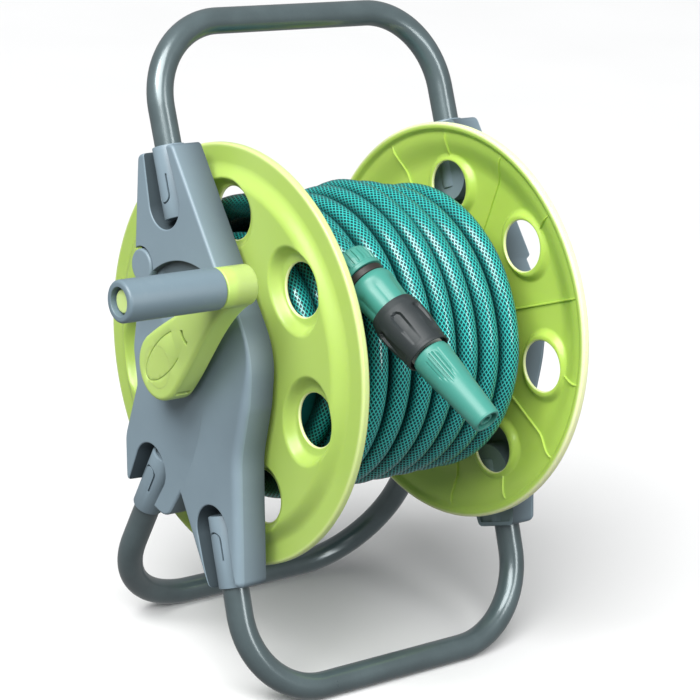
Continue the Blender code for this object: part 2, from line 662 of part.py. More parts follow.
def feed_elbow():
    """Cup over the hub tube's inner end, with a radial pipe that ends in the drum's wall."""
    inner = JOURNAL_BORE + GAP
    outer = inner + FEED_WALL
    floor = HUB_TUBE_END - FEED_CUP_DEPTH
    profile = [(0.0, floor - FEED_WALL), (outer, floor - FEED_WALL),
               (outer, HUB_TUBE_END + FEED_CUP_GRIP), (inner, HUB_TUBE_END + FEED_CUP_GRIP),
               (inner, floor), (0.0, floor)]
    cup = turned("feed_elbow", profile, 16, TEAL_PLASTIC)
    way = polar(1.0, FEED_ANGLE)
    start, end = 0.5 * (inner + outer), DRUM_RADIUS - 0.0009
    ends = [(feed_x(), distance * way[0], distance * way[1]) for distance in (start, end)]
    join(cup, rod_between(*ends, FEED_PIPE_RADIUS, 14))
    ends = [(feed_x(), distance * way[0], distance * way[1]) for distance in (0.6 * inner, end + CUT)]
    cut(cup, rod_between(*ends, FEED_PIPE_BORE, 10))
    return cup


def drum_screw(number, angle):
    """One screw from the far half drum into the crank-side half."""
    centre = polar(POST_CIRCLE, angle)
    seat = GAP / 2 + POST_END_WALL + GAP
    profile = [(0.0, seat + SCREW_HEAD_HEIGHT), (SCREW_HEAD_RADIUS, seat + SCREW_HEAD_HEIGHT),
               (SCREW_HEAD_RADIUS, seat), (SCREW_RADIUS, seat), (SCREW_RADIUS, -SCREW_GRIP + CUT),
               (0.0, -SCREW_GRIP)]
    screw = turned(f"drum_screw_{number}", profile, 8, ZINC_STEEL)
    screw.data.transform(Matrix.Translation((0.0, *centre)))
    return screw


def bush(name, side, end):
    """Flanged plain bearing: its collar fills the space between flange and plate."""
    bore = JOURNAL_RADIUS + GAP
    outer = bore + BUSH_WALL
    start = HUB_OUTER_X + GAP
    profile = [(bore, start), (BUSH_COLLAR_RADIUS, start), (BUSH_COLLAR_RADIUS, PLATE_BACK_X - GAP),
               (outer, PLATE_BACK_X - GAP), (outer, end), (bore, end)]
    return turned(name, profile, 16, BEARING_PLASTIC, side)


def hump(angle, x, top_angle, spread, top_x, width):
    """1 at a place on the layer, falling smoothly to 0 about it."""
    away = (angle - top_angle + 180.0) % 360.0 - 180.0
    return math.exp(-(away / spread) ** 2 - ((x - top_x) / width) ** 2)


def layer_radius(angle, x):
    """Centre-line radius of the outer layer: higher where the hose below crosses over."""
    rise = hump(angle, x, BULGE_ANGLE, BULGE_SPREAD, BULGE_X, BULGE_WIDTH)
    return LAYER_RADIUS + BULGE_HEIGHT * rise


def hose_core():
    """The inner layers of the hose as one plain ring on the drum."""
    inner = DRUM_RADIUS + GAP
    flat = HOSE_RADIUS * math.cos(math.pi / HOSE_SIDES)
    outer = LAYER_RADIUS - LEAD_DROP - flat / math.cos(math.pi / LOOP_POINTS) - GAP
    side = DISH_FLOOR_X - WEB_THICKNESS - GAP
    profile = [(inner, -side), (outer, -side), (outer, side), (inner, side)]
    return turned("hose_core", profile, LOOP_POINTS, HOSE_PVC)


def nozzle_direction():
    """Unit direction of the nozzle's axis, from the nut to the tip."""
    return (NOZZLE_TIP - NOZZLE_START).normalized()


def winding_route():
    """Centre line of the outer layer from the far flange to the crank side, then up into the nut."""
    way = nozzle_direction()
    meet = NOZZLE_START - way * GAP
    meet_radius = math.hypot(meet.y, meet.z)
    turn = math.atan2(meet.z, -meet.y)
    meet_angle = math.degrees(turn)
    outwards = way.dot(Vector((0.0, -math.cos(turn), math.sin(turn))))
    around = -way.dot(Vector((0.0, math.sin(turn), math.cos(turn))))
    degree = math.radians(1.0) * meet_radius / around
    start_slope = (LOOP_X[-1] - LOOP_X[-2]) / 720.0
    route = []
    for angle in route_angles(meet_angle):
        turn = len(LOOP_X) - 1 - (angle - LOOP_START_ANGLE) / 360.0
        x = float(np.interp(turn, (-LEAD_TURNS, *range(len(LOOP_X))), (LEAD_X, *LOOP_X)))
        sway = SWAY_LEAST + SWAY_EXTRA * math.exp(-((x - SWAY_X) / SWAY_WIDTH) ** 2)
        x += sway * (1.0 - math.cos(math.radians(angle - LOOP_START_ANGLE)))
        if angle < LOOP_START_ANGLE:
            span = LOOP_START_ANGLE - meet_angle
            x = blend((LOOP_START_ANGLE - angle) / span, LOOP_X[-1], meet.x,
                      start_slope * span, way.x * degree * span)
        climb = max(0.0, -turn / LEAD_TURNS)
        radius = layer_radius(angle, x) - LEAD_DROP * climb * climb * (3.0 - 2.0 * climb)
        if angle < TAIL_RISE_ANGLE:
            span = TAIL_RISE_ANGLE - meet_angle
            radius = blend((TAIL_RISE_ANGLE - angle) / span, LAYER_RADIUS, meet_radius,
                           0.0, outwards * degree * span)
        route.append(Vector((x, *polar(radius, angle))))
    return route + [NOZZLE_START + way * HOSE_INSERT / 2, NOZZLE_START + way * HOSE_INSERT]


def route_angles(last):
    """Falling angles of the hose's points, one full circle per turn, closer together at the end."""
    step = 360.0 / LOOP_POINTS
    count = round(LEAD_TURNS * LOOP_POINTS) + (len(LOOP_X) - 1) * LOOP_POINTS
    tail = math.ceil(2.0 * (LOOP_START_ANGLE - last) / step)
    return ([LOOP_START_ANGLE + step * (count - index) for index in range(count + 1)]
            + [LOOP_START_ANGLE + (last - LOOP_START_ANGLE) * index / tail
               for index in range(1, tail + 1)])


def blend(t, start, end, start_slope, end_slope):
    """Smooth curve from start to end for t from 0 to 1, with a given slope at each end."""
    return ((1.0 + 2.0 * t) * (1.0 - t) ** 2 * start + t * t * (3.0 - 2.0 * t) * end
            + t * (1.0 - t) ** 2 * start_slope + t * t * (t - 1.0) * end_slope)


def measure_route(route):
    """Print the hose's length, its tightest bend and the least gap of its surface to itself."""
    points = np.array([tuple(point) for point in route])
    steps = np.linalg.norm(np.diff(points, axis=0), axis=1)
    along = np.concatenate(([0.0], np.cumsum(steps)))
    apart = np.linalg.norm(points[:, None, :] - points[None, :, :], axis=2)
    far_along = np.abs(along[:, None] - along[None, :]) > 6 * HOSE_RADIUS
    gap = apart[far_along].min() - 2 * HOSE_RADIUS
    sides = np.diff(points, axis=0)
    turn = np.arccos(np.clip(np.sum(sides[1:] * sides[:-1], axis=1) / (steps[1:] * steps[:-1]), -1, 1))
    bend = (0.5 * (steps[1:] + steps[:-1]) / np.maximum(turn, 1e-9)).min()
    print(f"hose: {len(points)} points, {along[-1]:.3f} m long, tightest bend {bend * 1000:.1f} mm, "
          f"least gap to itself {gap * 1000:.2f} mm")


def hose_winding():
    """The outer layer and the hose end as one unbroken tube."""
    route = winding_route()
    measure_route(route)
    curve = bpy.data.curves.new("hose_winding", "CURVE")
    curve.dimensions = "3D"
    curve.bevel_depth = HOSE_RADIUS
    curve.bevel_resolution = 1
    curve.use_fill_caps = True
    spline = curve.splines.new("POLY")
    spline.points.add(len(route) - 1)
    for point, place in zip(spline.points, route):
        point.co = (*place, 1.0)
    curve.materials.append(HOSE_PVC)
    hose = bpy.data.objects.new("hose_winding", curve)
    bpy.context.collection.objects.link(hose)
    return hose


def nozzle_part(name, profile, steps, material):
    """A piece turned about the nozzle's own axis, which runs along its local X."""
    made = turned(name, profile, steps, material)
    turn = nozzle_direction().to_track_quat("X", "Z").to_matrix().to_4x4()
    made["place"] = [value for row in Matrix.Translation(NOZZLE_START) @ turn for value in row]
    return made


def hose_end_fittings():
    """Nut, ring, connector, collar and twist nozzle, in order along the nozzle's axis."""
    hose_bore = HOSE_RADIUS + GAP
    ring_start = NUT_LENGTH + GAP
    body_start = ring_start + RING_LENGTH + GAP
    thread = BODY_END_RADIUS - 0.0035
    collar_end = COLLAR_START + COLLAR_LENGTH
    barrel_start = collar_end + 0.0006
    tip = (NOZZLE_TIP - NOZZLE_START).length
    plug_start = 0.058
    neck_end = collar_end - 0.006
    neck_start = COLLAR_START + 0.0010
    jaw_outer = NECK_RADIUS + 0.0002
    nut = [(hose_bore + 0.0008, 0.0), (0.0132, 0.0), (0.0145, 0.0014), (0.0155, 0.0085),
           (0.0151, NUT_LENGTH - 0.0034), (0.0158, NUT_LENGTH - 0.0029),
           (0.0158, NUT_LENGTH - 0.0006), (0.0152, NUT_LENGTH), (thread + GAP, NUT_LENGTH),
           (thread + GAP, HOSE_INSERT + GAP), (hose_bore, HOSE_INSERT + GAP), (hose_bore, 0.0010)]
    ring = [(thread + GAP, ring_start), (0.0145, ring_start), (0.0145, ring_start + RING_LENGTH),
            (thread + GAP, ring_start + RING_LENGTH)]
    body = [(STEM_BORE, HOSE_INSERT + 2 * GAP), (thread, HOSE_INSERT + 2 * GAP),
            (thread, body_start), (BODY_RADIUS - 0.0022, body_start),
            (BODY_RADIUS - 0.0004, body_start + 0.0022), (BODY_RADIUS, body_start + 0.0052),
            (BODY_END_RADIUS, neck_start - 0.0060), (BODY_END_RADIUS, neck_start - 0.0008),
            (BODY_END_RADIUS - 0.0008, neck_start), (NECK_RADIUS, neck_start),
            (NECK_RADIUS, neck_end), (STEM_RADIUS + GAP, neck_end), (STEM_RADIUS + GAP, plug_start),
            (STEM_BORE, plug_start)]
    jaws = [(STEM_RADIUS + GAP - 0.0006, neck_end + GAP), (jaw_outer, neck_end + GAP),
            (jaw_outer, neck_end + 0.004), (STEM_RADIUS + GAP - 0.0006, neck_end + 0.004)]
    collar_bore = jaw_outer + GAP
    skirt_bore = BODY_END_RADIUS + 0.0004
    skirt_end = neck_start + COLLAR_TRAVEL + 0.0010
    collar = [(skirt_bore, COLLAR_START), (0.0162, COLLAR_START), (0.0173, COLLAR_START + 0.0025),
              (0.0182, COLLAR_START + 0.010), (0.0185, COLLAR_START + 0.020),
              (0.0178, collar_end - 0.0063), (0.0164, collar_end - 0.0020),
              (0.0148, collar_end), (collar_bore, collar_end), (collar_bore, skirt_end),
              (skirt_bore, skirt_end)]
    seal_start, seal_end = plug_start + 0.0040, plug_start + 0.0062
    groove = STEM_RADIUS - 0.0012
    jaw_groove = STEM_RADIUS - 0.0014
    stem_end = tip - 0.016
    shoulder = stem_end - 0.018
    stem = [(STEM_BORE, plug_start + GAP), (STEM_RADIUS - 0.0006, plug_start + GAP),
            (STEM_RADIUS, plug_start + 0.0015), (STEM_RADIUS, seal_start), (groove, seal_start),
            (groove, seal_end), (STEM_RADIUS, seal_end), (STEM_RADIUS, neck_end - 0.001),
            (jaw_groove, neck_end), (jaw_groove, neck_end + 0.0045),
            (STEM_RADIUS, neck_end + 0.0055), (STEM_RADIUS, barrel_start),
            (BARREL_RADIUS - 0.0045, barrel_start + 0.001), (BARREL_RADIUS - 0.0045, shoulder),
            (STEM_NOSE_RADIUS, shoulder + 0.006), (STEM_NOSE_RADIUS, stem_end),
            (STEM_BORE, stem_end)]
    seal = [(groove + GAP, seal_start + GAP), (STEM_RADIUS - 0.0001, seal_start + GAP),
            (STEM_RADIUS - 0.0001, seal_end - GAP), (groove + GAP, seal_end - GAP)]
    inner = BARREL_RADIUS - 0.0045 + GAP
    barrel = [(inner, barrel_start), (BARREL_RADIUS - 0.0008, barrel_start),
              (BARREL_RADIUS, barrel_start + 0.0012), (BARREL_TIP_RADIUS, tip - 0.0016),
              (BARREL_TIP_RADIUS - 0.0008, tip), (BARREL_TIP_RADIUS - 0.0022, tip),
              (BARREL_TIP_RADIUS - 0.0026, tip - 0.0050), (0.0050, tip - 0.0050),
              (0.0046, tip - 0.0014), (ORIFICE_RADIUS, tip - 0.0014),
              (ORIFICE_RADIUS, stem_end + 0.0045),
              (STEM_NOSE_RADIUS + GAP, stem_end + GAP), (STEM_NOSE_RADIUS + GAP, shoulder + 0.0065),
              (inner, shoulder + 0.0004)]
    return [nozzle_part("hose_nut", nut, 14, TEAL_PLASTIC),
            nozzle_part("hose_clamp_ring", ring, 14, SEAL_RUBBER),
            nozzle_part("connector_body", body, 14, TEAL_PLASTIC),
            nozzle_part("connector_jaws", jaws, 14, BEARING_PLASTIC),
            nozzle_part("release_collar", collar, 14, SOFT_RUBBER),
            nozzle_part("nozzle_stem", stem, 14, TEAL_PLASTIC),
            nozzle_part("nozzle_seal", seal, 14, SEAL_RUBBER),
            nozzle_part("nozzle_barrel", barrel, 14, TEAL_PLASTIC)]


def arm_point(distance, offset=0.0):
    """(y, z) in the crank arm's frame: distance from the reel's axis and offset across the arm."""
    turn = math.radians(CRANK_ANGLE)
    along = np.array((-math.cos(turn), math.sin(turn)))
    across = np.array((along[1], -along[0]))
    return distance * along + offset * across


def arm_outline():
    """Outline of the crank arm: a round hub, sides that draw in, and the round boss."""
    outline = [arm_point(CRANK_HUB_RADIUS * math.cos(a), CRANK_HUB_RADIUS * math.sin(a))
               for a in np.radians(np.linspace(80.0, 280.0, 13))]
    waist = ((0.45 * CRANK_LENGTH, 0.70 * CRANK_HUB_RADIUS),
             (0.74 * CRANK_LENGTH, 0.43 * CRANK_HUB_RADIUS))
    outline += [arm_point(distance, -offset) for distance, offset in waist]
    radius = CRANK_BOSS_RADIUS - GAP
    outline += [arm_point(CRANK_LENGTH + radius * math.cos(a), radius * math.sin(a))
                for a in np.radians(np.linspace(-125.0, 125.0, 11))]
    outline += [arm_point(distance, offset) for distance, offset in reversed(waist)]
    return np.array(outline)


def crank_arm():
    """The crank arm with its square socket, screw seat, cap recess, boss and grip spindle."""
    outline = arm_outline()
    back, face = CRANK_BACK_X, CRANK_BACK_X + CRANK_THICKNESS
    levels = ((back, 0.0008), (back + 0.0010, 0.0), (face - 0.0025, 0.0), (face - 0.0007, 0.0008),
              (face, 0.0026))
    arm = prism("crank_arm", [(-x, inset_outline(outline, inset)) for x, inset in levels],
                LIME_PLASTIC)
    boss = arm_point(CRANK_LENGTH)
    boss_end = back + CRANK_BOSS_LENGTH
    join(arm, rod(-(back + 0.0005), -boss_end, CRANK_BOSS_RADIUS, 24, boss))
    spindle_end = boss_end + GAP + GRIP_LENGTH - GRIP_RECESS
    join(arm, rod(-(boss_end - CUT), -spindle_end, SPINDLE_RADIUS, 12, boss))
    cut(arm, rod(-(spindle_end - 0.020), -(spindle_end + CUT), 0.0034, 12, boss))
    half = DRIVE_SIZE / 2 + GAP
    square = [(-half, -half), (half, -half), (half, half), (-half, half)]
    socket_end = CRANK_JOURNAL_END + DRIVE_LENGTH + GAP
    cut(arm, prism("socket", [(-(back - CUT), square), (-socket_end, square)], LIME_PLASTIC))
    head_seat = socket_end + CRANK_SCREW_WALL
    cut(arm, rod(-(socket_end - CUT), -(head_seat + CUT), SCREW_RADIUS + GAP, 12))
    cut(arm, rod(-head_seat, -(face + CUT), SCREW_HEAD_RADIUS + 0.0012, 16))
    cut(arm, rod(-(face - CAP_THICKNESS), -(face + CUT), CAP_RADIUS + GAP, 24))
    return arm


def crank_screw():
    """The screw that holds the arm on the square drive."""
    seat = CRANK_JOURNAL_END + DRIVE_LENGTH + GAP + CRANK_SCREW_WALL + GAP
    end = CRANK_JOURNAL_END
    profile = [(0.0, end), (SCREW_RADIUS, end + 0.001), (SCREW_RADIUS, seat),
               (SCREW_HEAD_RADIUS, seat), (SCREW_HEAD_RADIUS, seat + SCREW_HEAD_HEIGHT),
               (0.0, seat + SCREW_HEAD_HEIGHT)]
    return turned("crank_screw", profile, 8, ZINC_STEEL, -1.0)


def crank_hub_cap():
    """Round cap over the screw, a touch proud of the arm's face."""
    floor = CRANK_BACK_X + CRANK_THICKNESS - CAP_THICKNESS + GAP
    top = CRANK_BACK_X + CRANK_THICKNESS + 0.0004
    profile = [(0.0, floor), (CAP_RADIUS, floor), (CAP_RADIUS, top - 0.0006),
               (CAP_RADIUS - 0.0008, top), (0.0, top)]
    return turned("crank_hub_cap", profile, 24, LIME_PLASTIC, -1.0)


def grip_place():
    """The grip's axis at the outer face of the crank's boss."""
    y, z = arm_point(CRANK_LENGTH)
    return Vector((-(CRANK_BACK_X + CRANK_BOSS_LENGTH), y, z))


def crank_grip():
    """The grip: a tube on the spindle with a round end and a recess for the retainer."""
    bore = SPINDLE_RADIUS + GAP
    recess = RETAINER_RADIUS + 0.0010
    start, end = GAP, GAP + GRIP_LENGTH
    profile = [(bore, start), (GRIP_RADIUS - 0.0012, start), (GRIP_RADIUS, start + 0.0012),
               (GRIP_RADIUS - 0.0004, end - 0.010), (GRIP_RADIUS - 0.0016, end - 0.0045),
               (GRIP_RADIUS - 0.0036, end - 0.0012), (recess + 0.0008, end), (recess, end - 0.0010),
               (recess, end - GRIP_RECESS), (bore, end - GRIP_RECESS)]
    grip = turned("crank_grip", profile, 20, PLATE_PLASTIC, -1.0)
    grip.location = grip_place()
    return grip


def grip_retainer():
    """Plug pressed into the spindle's end, whose head keeps the grip on."""
    start = GAP + GRIP_LENGTH - GRIP_RECESS + GAP
    head = GRIP_RECESS - 0.0020
    profile = [(0.0, start - 0.015), (0.0031, start - 0.015), (0.0031, start),
               (RETAINER_RADIUS, start), (RETAINER_RADIUS, start + head - 0.0008),
               (RETAINER_RADIUS - 0.0010, start + head), (0.0, start + head)]
    plug = turned("grip_retainer", profile, 16, LIME_PLASTIC, -1.0)
    plug.location = grip_place()
    return plug


def bent_rod(start, end, radius, steps):
    """A round rod from start along X, then through a bend and down along -Z to end."""
    path = [(start, 0.0, 1.0, 0.0)]
    for step in range(ELBOW_STEPS + 1):
        angle = math.pi / 2 * step / ELBOW_STEPS
        path.append((ELBOW_X - ELBOW_BEND * (1 - math.sin(angle)),
                     -ELBOW_BEND * (1 - math.cos(angle)), math.cos(angle), -math.sin(angle)))
    path.append((ELBOW_X, -end, 0.0, -1.0))
    shape = bmesh.new()
    rings = []
    for x, z, way_x, way_z in path:
        ring = []
        for side in range(steps):
            angle = 2 * math.pi * (side + 0.5) / steps
            flat, out = radius * math.cos(angle), radius * math.sin(angle)
            ring.append(shape.verts.new((x - out * way_z, flat, z + out * way_x)))
        rings.append(ring)
    for low, high in zip(rings, rings[1:]):
        for side in range(steps):
            after = (side + 1) % steps
            shape.faces.new((low[side], low[after], high[after], high[side]))
    shape.faces.new(rings[0])
    shape.faces.new(rings[-1][::-1])
    return mesh_object("rod", shape, PLATE_PLASTIC)


def inlet_elbow():
    """The swivelling elbow: a stub with two seal grooves and a clip groove, and the drop leg."""
    clip_start = HUB_TUBE_END - GAP - CLIP_THICKNESS - GAP
    clip_end = HUB_TUBE_END
    groove = STUB_RADIUS - 0.0013
    stub = [(0.0, clip_start - 0.0025), (STUB_RADIUS - 0.0004, clip_start - 0.0025),
            (STUB_RADIUS - 0.0004, clip_start), (groove, clip_start), (groove, clip_end),
            (STUB_RADIUS, clip_end)]
    for place in SEAL_POSITIONS:
        stub += [(STUB_RADIUS, place), (groove, place), (groove, place + SEAL_WIDTH + 2 * GAP),
                 (STUB_RADIUS, place + SEAL_WIDTH + 2 * GAP)]
    collar = FAR_JOURNAL_END + GAP
    stub += [(STUB_RADIUS, collar), (JOURNAL_RADIUS - 0.001, collar),
             (JOURNAL_RADIUS - 0.001, collar + 0.0030), (0.0, collar + 0.0030)]
    elbow = turned("inlet_elbow", stub, 14, PLATE_PLASTIC)
    join(elbow, bent_rod(collar + 0.001, ELBOW_DROP, ELBOW_RADIUS, 10))
    cut(elbow, bent_rod(clip_start - 0.0025 - CUT, ELBOW_DROP + CUT, WATER_BORE, 8),
        rod_between((ELBOW_X, 0, -(ELBOW_DROP - 0.012)), (ELBOW_X, 0, -(ELBOW_DROP + CUT)),
                    NIPPLE_STEM_RADIUS + GAP, 12))
    return elbow


NIPPLE_STEM_RADIUS = 0.0066


def inlet_seal(name, place):
    """A seal ring in one of the stub's grooves."""
    inner = STUB_RADIUS - 0.0013 + GAP
    outer = STUB_RADIUS - 0.0001
    start, end = place + GAP, place + GAP + SEAL_WIDTH
    profile = [(inner, start), (outer, start), (outer, end), (inner, end)]
    return turned(name, profile, 14, SEAL_RUBBER)


def inlet_clip():
    """Open ring in the stub's groove, bearing on the hub tube's inner end."""
    start = HUB_TUBE_END - GAP - CLIP_THICKNESS
    inner = STUB_RADIUS - 0.0013 + GAP
    profile = [(inner, start), (JOURNAL_BORE - 0.0008, start),
               (JOURNAL_BORE - 0.0008, start + CLIP_THICKNESS), (inner, start + CLIP_THICKNESS)]
    clip = turned("inlet_clip", profile, 14, ZINC_STEEL)
    mouth = [(-0.003, 0.0), (0.003, 0.0), (0.003, 0.02), (-0.003, 0.02)]
    cut(clip, prism("mouth", [(start - CUT, mouth), (start + CLIP_THICKNESS + CUT, mouth)],
                    ZINC_STEEL))
    return clip


def inlet_nipple():
    """Quick-connect nipple screwed into the elbow, with its bore and latch groove."""
    top = ELBOW_DROP - 0.011
    nut_top = ELBOW_DROP + GAP
    nut_end = nut_top + 0.008
    end = ELBOW_DROP + NIPPLE_LENGTH
    groove = NIPPLE_RADIUS - 0.0014
    profile = [(0.0035, top), (NIPPLE_STEM_RADIUS, top), (NIPPLE_STEM_RADIUS, nut_top),
               (NIPPLE_NUT_RADIUS, nut_top), (NIPPLE_NUT_RADIUS, nut_end), (NIPPLE_RADIUS, nut_end),
               (NIPPLE_RADIUS, nut_end + 0.010), (groove, nut_end + 0.011),
               (groove, nut_end + 0.0145), (NIPPLE_RADIUS, nut_end + 0.0155),
               (NIPPLE_RADIUS, end - 0.0012), (NIPPLE_RADIUS - 0.001, end), (0.0035, end)]
    nipple = turned("inlet_nipple", profile, 12, TEAL_PLASTIC)
    nipple.data.transform(Matrix.Rotation(math.pi / 2, 4, "Y"))
    nipple.location = (ELBOW_X, 0.0, 0.0)
    return nipple


def stand_place():
    """Where the middle of the reel's axis lies over the origin, from the object's outermost parts."""
    floor = -FRONT.bar[1] + TUBE_RADIUS * math.cos(math.pi / TUBE_SIDES)
    crank_reach = CRANK_BACK_X + CRANK_BOSS_LENGTH + GAP + GRIP_LENGTH
    inlet_reach = ELBOW_X + NIPPLE_NUT_RADIUS
    way = nozzle_direction()
    tip_rim = (BARREL_TIP_RADIUS - 0.0008) * math.sqrt(1.0 - way.y ** 2)
    front_reach = -NOZZLE_TIP.y + tip_rim
    corner = 2 * math.pi / RIM_STEPS
    back_reach = FLANGE_RADIUS * math.cos(math.pi / 2 - corner * round(math.pi / 2 / corner))
    return Vector(((crank_reach - inlet_reach) / 2, (front_reach - back_reach) / 2, floor))


def build():
    """Make every piece and hang it on the stand's empty."""
    pieces = [u_tube(leg) for leg in LEGS]
    pieces += [side_plate("crank_side_plate", -1.0, True), side_plate("far_side_plate", 1.0, False),
               bush("crank_side_bush", -1.0, PLATE_FACE_X + GAP),
               bush("far_side_bush", 1.0, FAR_JOURNAL_END - GAP),
               crank_side_flange(), far_side_flange(), feed_elbow(), hose_core(), hose_winding()]
    pieces += [drum_screw(number, angle) for number, angle in enumerate(POST_ANGLES, 1)]
    pieces += hose_end_fittings()
    pieces += [crank_arm(), crank_screw(), crank_hub_cap(), crank_grip(), grip_retainer(),
               inlet_elbow(), inlet_nipple(), inlet_clip()]
    pieces += [inlet_seal(name, place)
               for name, place in zip(("inlet_seal_inner", "inlet_seal_outer"), SEAL_POSITIONS)]
    stand = bpy.data.objects.new("stand", None)
    bpy.context.collection.objects.link(stand)
    stand.location = stand_place()
    for piece in pieces:
        if "place" in piece:
            values = list(piece["place"])
            piece.matrix_world = Matrix([values[row * 4:row * 4 + 4] for row in range(4)])
            del piece["place"]
        piece.parent = stand
        if piece.type == "MESH":
            piece.data.shade_smooth()
            piece.data.set_sharp_from_angle(angle=math.radians(35))


build()
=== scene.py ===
"""Free-standing garden hose reel, dressed for its picture.

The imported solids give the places, and each shape here is worked out from the reel's own sizes.
Lengths are metres. Shapes are built about the middle of the reel's axis, called the hub: X runs along
the axis with the crank at -X, the front is -Y and up is +Z.
"""
from __future__ import annotations

import json
import logging
import math
from dataclasses import dataclass, field
from enum import Enum
from typing import Callable, Sequence

import bmesh
import bpy
import numpy as np
from mathutils import Euler, Matrix, Vector
from mathutils.geometry import delaunay_2d_cdt

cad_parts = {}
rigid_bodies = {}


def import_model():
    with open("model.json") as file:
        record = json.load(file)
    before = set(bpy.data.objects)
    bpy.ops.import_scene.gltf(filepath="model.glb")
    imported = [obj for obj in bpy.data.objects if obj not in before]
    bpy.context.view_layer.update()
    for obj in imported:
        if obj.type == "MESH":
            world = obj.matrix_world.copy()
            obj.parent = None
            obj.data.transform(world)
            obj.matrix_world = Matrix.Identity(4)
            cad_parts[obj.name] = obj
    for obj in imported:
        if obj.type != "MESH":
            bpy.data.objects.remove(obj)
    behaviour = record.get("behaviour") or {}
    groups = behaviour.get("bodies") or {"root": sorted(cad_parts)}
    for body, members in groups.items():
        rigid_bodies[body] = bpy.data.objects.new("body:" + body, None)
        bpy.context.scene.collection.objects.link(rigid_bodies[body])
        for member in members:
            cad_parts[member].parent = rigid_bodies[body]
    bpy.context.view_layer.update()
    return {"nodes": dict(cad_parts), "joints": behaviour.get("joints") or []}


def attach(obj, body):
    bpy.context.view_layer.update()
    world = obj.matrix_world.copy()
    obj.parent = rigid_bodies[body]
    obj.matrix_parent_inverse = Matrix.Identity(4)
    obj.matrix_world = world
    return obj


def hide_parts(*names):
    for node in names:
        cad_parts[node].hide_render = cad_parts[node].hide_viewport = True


for leftover in list(bpy.data.objects):
    bpy.data.objects.remove(leftover, do_unlink=True)
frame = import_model()
HUB = np.array(next(joint["pos_m"] for joint in frame["joints"] if joint["name"] == "reel_spin"))

Array = np.ndarray
Pair = tuple[float, float]
Triple = tuple[float, float, float]
# A form gives the radius from the angle, X and the plain radius.
Form = Callable[[Array, Array, Array], Array]
LOG = logging.getLogger("hose_reel")
# GAP is the clearance between pieces, STEEP the width over which a steep wall falls, and TINY stands in
# for nought in a division.
GAP = 0.0003
STEEP = 0.0003
TINY = 1e-18
# Sizes that more than one piece follows. INSERT is how far the hose runs into its nut.
RIM_RADIUS = 0.1500
HOLES = 7
HOLE_CIRCLE = 0.1020
HOLE_RADIUS = 0.01875
HOSE_RADIUS = 0.0085
LAYER_RADIUS = 0.0985
INSERT = 0.0130
WATER_TUBE_END = 0.0620
FAR_JOURNAL_END = 0.1395


class Side(Enum):
    """Which end of the reel's axis a piece belongs to."""

    CRANK = -1.0
    FAR = 1.0

    def named(self, part: str) -> str:
        """Return the name of this side's part."""
        return f"{self.name.lower()}_side_{part}"


# Angle of each flange's first hole, in degrees from the front upwards.
FIRST_HOLE = {Side.CRANK: 93.5, Side.FAR: 99.2}


# Shapes


@dataclass
class Patch:
    """A stretch of surface: its points, its triangles and the UV of each triangle's corners."""

    points: Array
    triangles: Array
    corner_uv: Array | None = None

    def moved(self, matrix: Array, place: Array) -> Patch:
        """Return the patch turned by a 3x3 matrix and then shifted."""
        return Patch(self.points @ np.asarray(matrix).T + place, self.triangles, self.corner_uv)

    def mirrored(self, side: Side, place: Sequence[float] = (0.0, 0.0, 0.0)) -> Patch:
        """Return the patch with its X turned towards a side, and then shifted."""
        return self.moved(np.diag((side.value, 1.0, 1.0)), np.array(place))


def shaded(patch: Patch, painted_shade: Array | float = 0.0) -> Patch:
    """Store each point's painted shade, from 0 to 1, as the patch's U; the finish darkens the colour by it.
    """
    corner = np.broadcast_to(np.asarray(painted_shade, float), len(patch.points))[patch.triangles]
    return Patch(patch.points, patch.triangles, np.stack((corner, np.zeros_like(corner)), 2))


def lattice(points: Array, uv: Array | None = None) -> Patch:
    """Cover a grid of points with triangles, two to each cell.

    Args:
        points: Grid of shape (rows, columns, 3).
        uv: Grid of shape (rows, columns, 2), for a pattern that follows the surface.

    Returns:
        The patch over the whole grid.
    """
    rows, columns = points.shape[:2]
    index = np.arange(rows * columns).reshape(rows, columns)
    near, far = index[:-1, :-1].ravel(), index[1:, :-1].ravel()
    far_next, near_next = index[1:, 1:].ravel(), index[:-1, 1:].ravel()
    triangles = np.concatenate((np.stack((near, far, far_next), 1), np.stack((near, far_next, near_next), 1)))
    corner_uv = None if uv is None else uv.reshape(-1, 2)[triangles]
    return Patch(points.reshape(-1, 3), triangles, corner_uv)


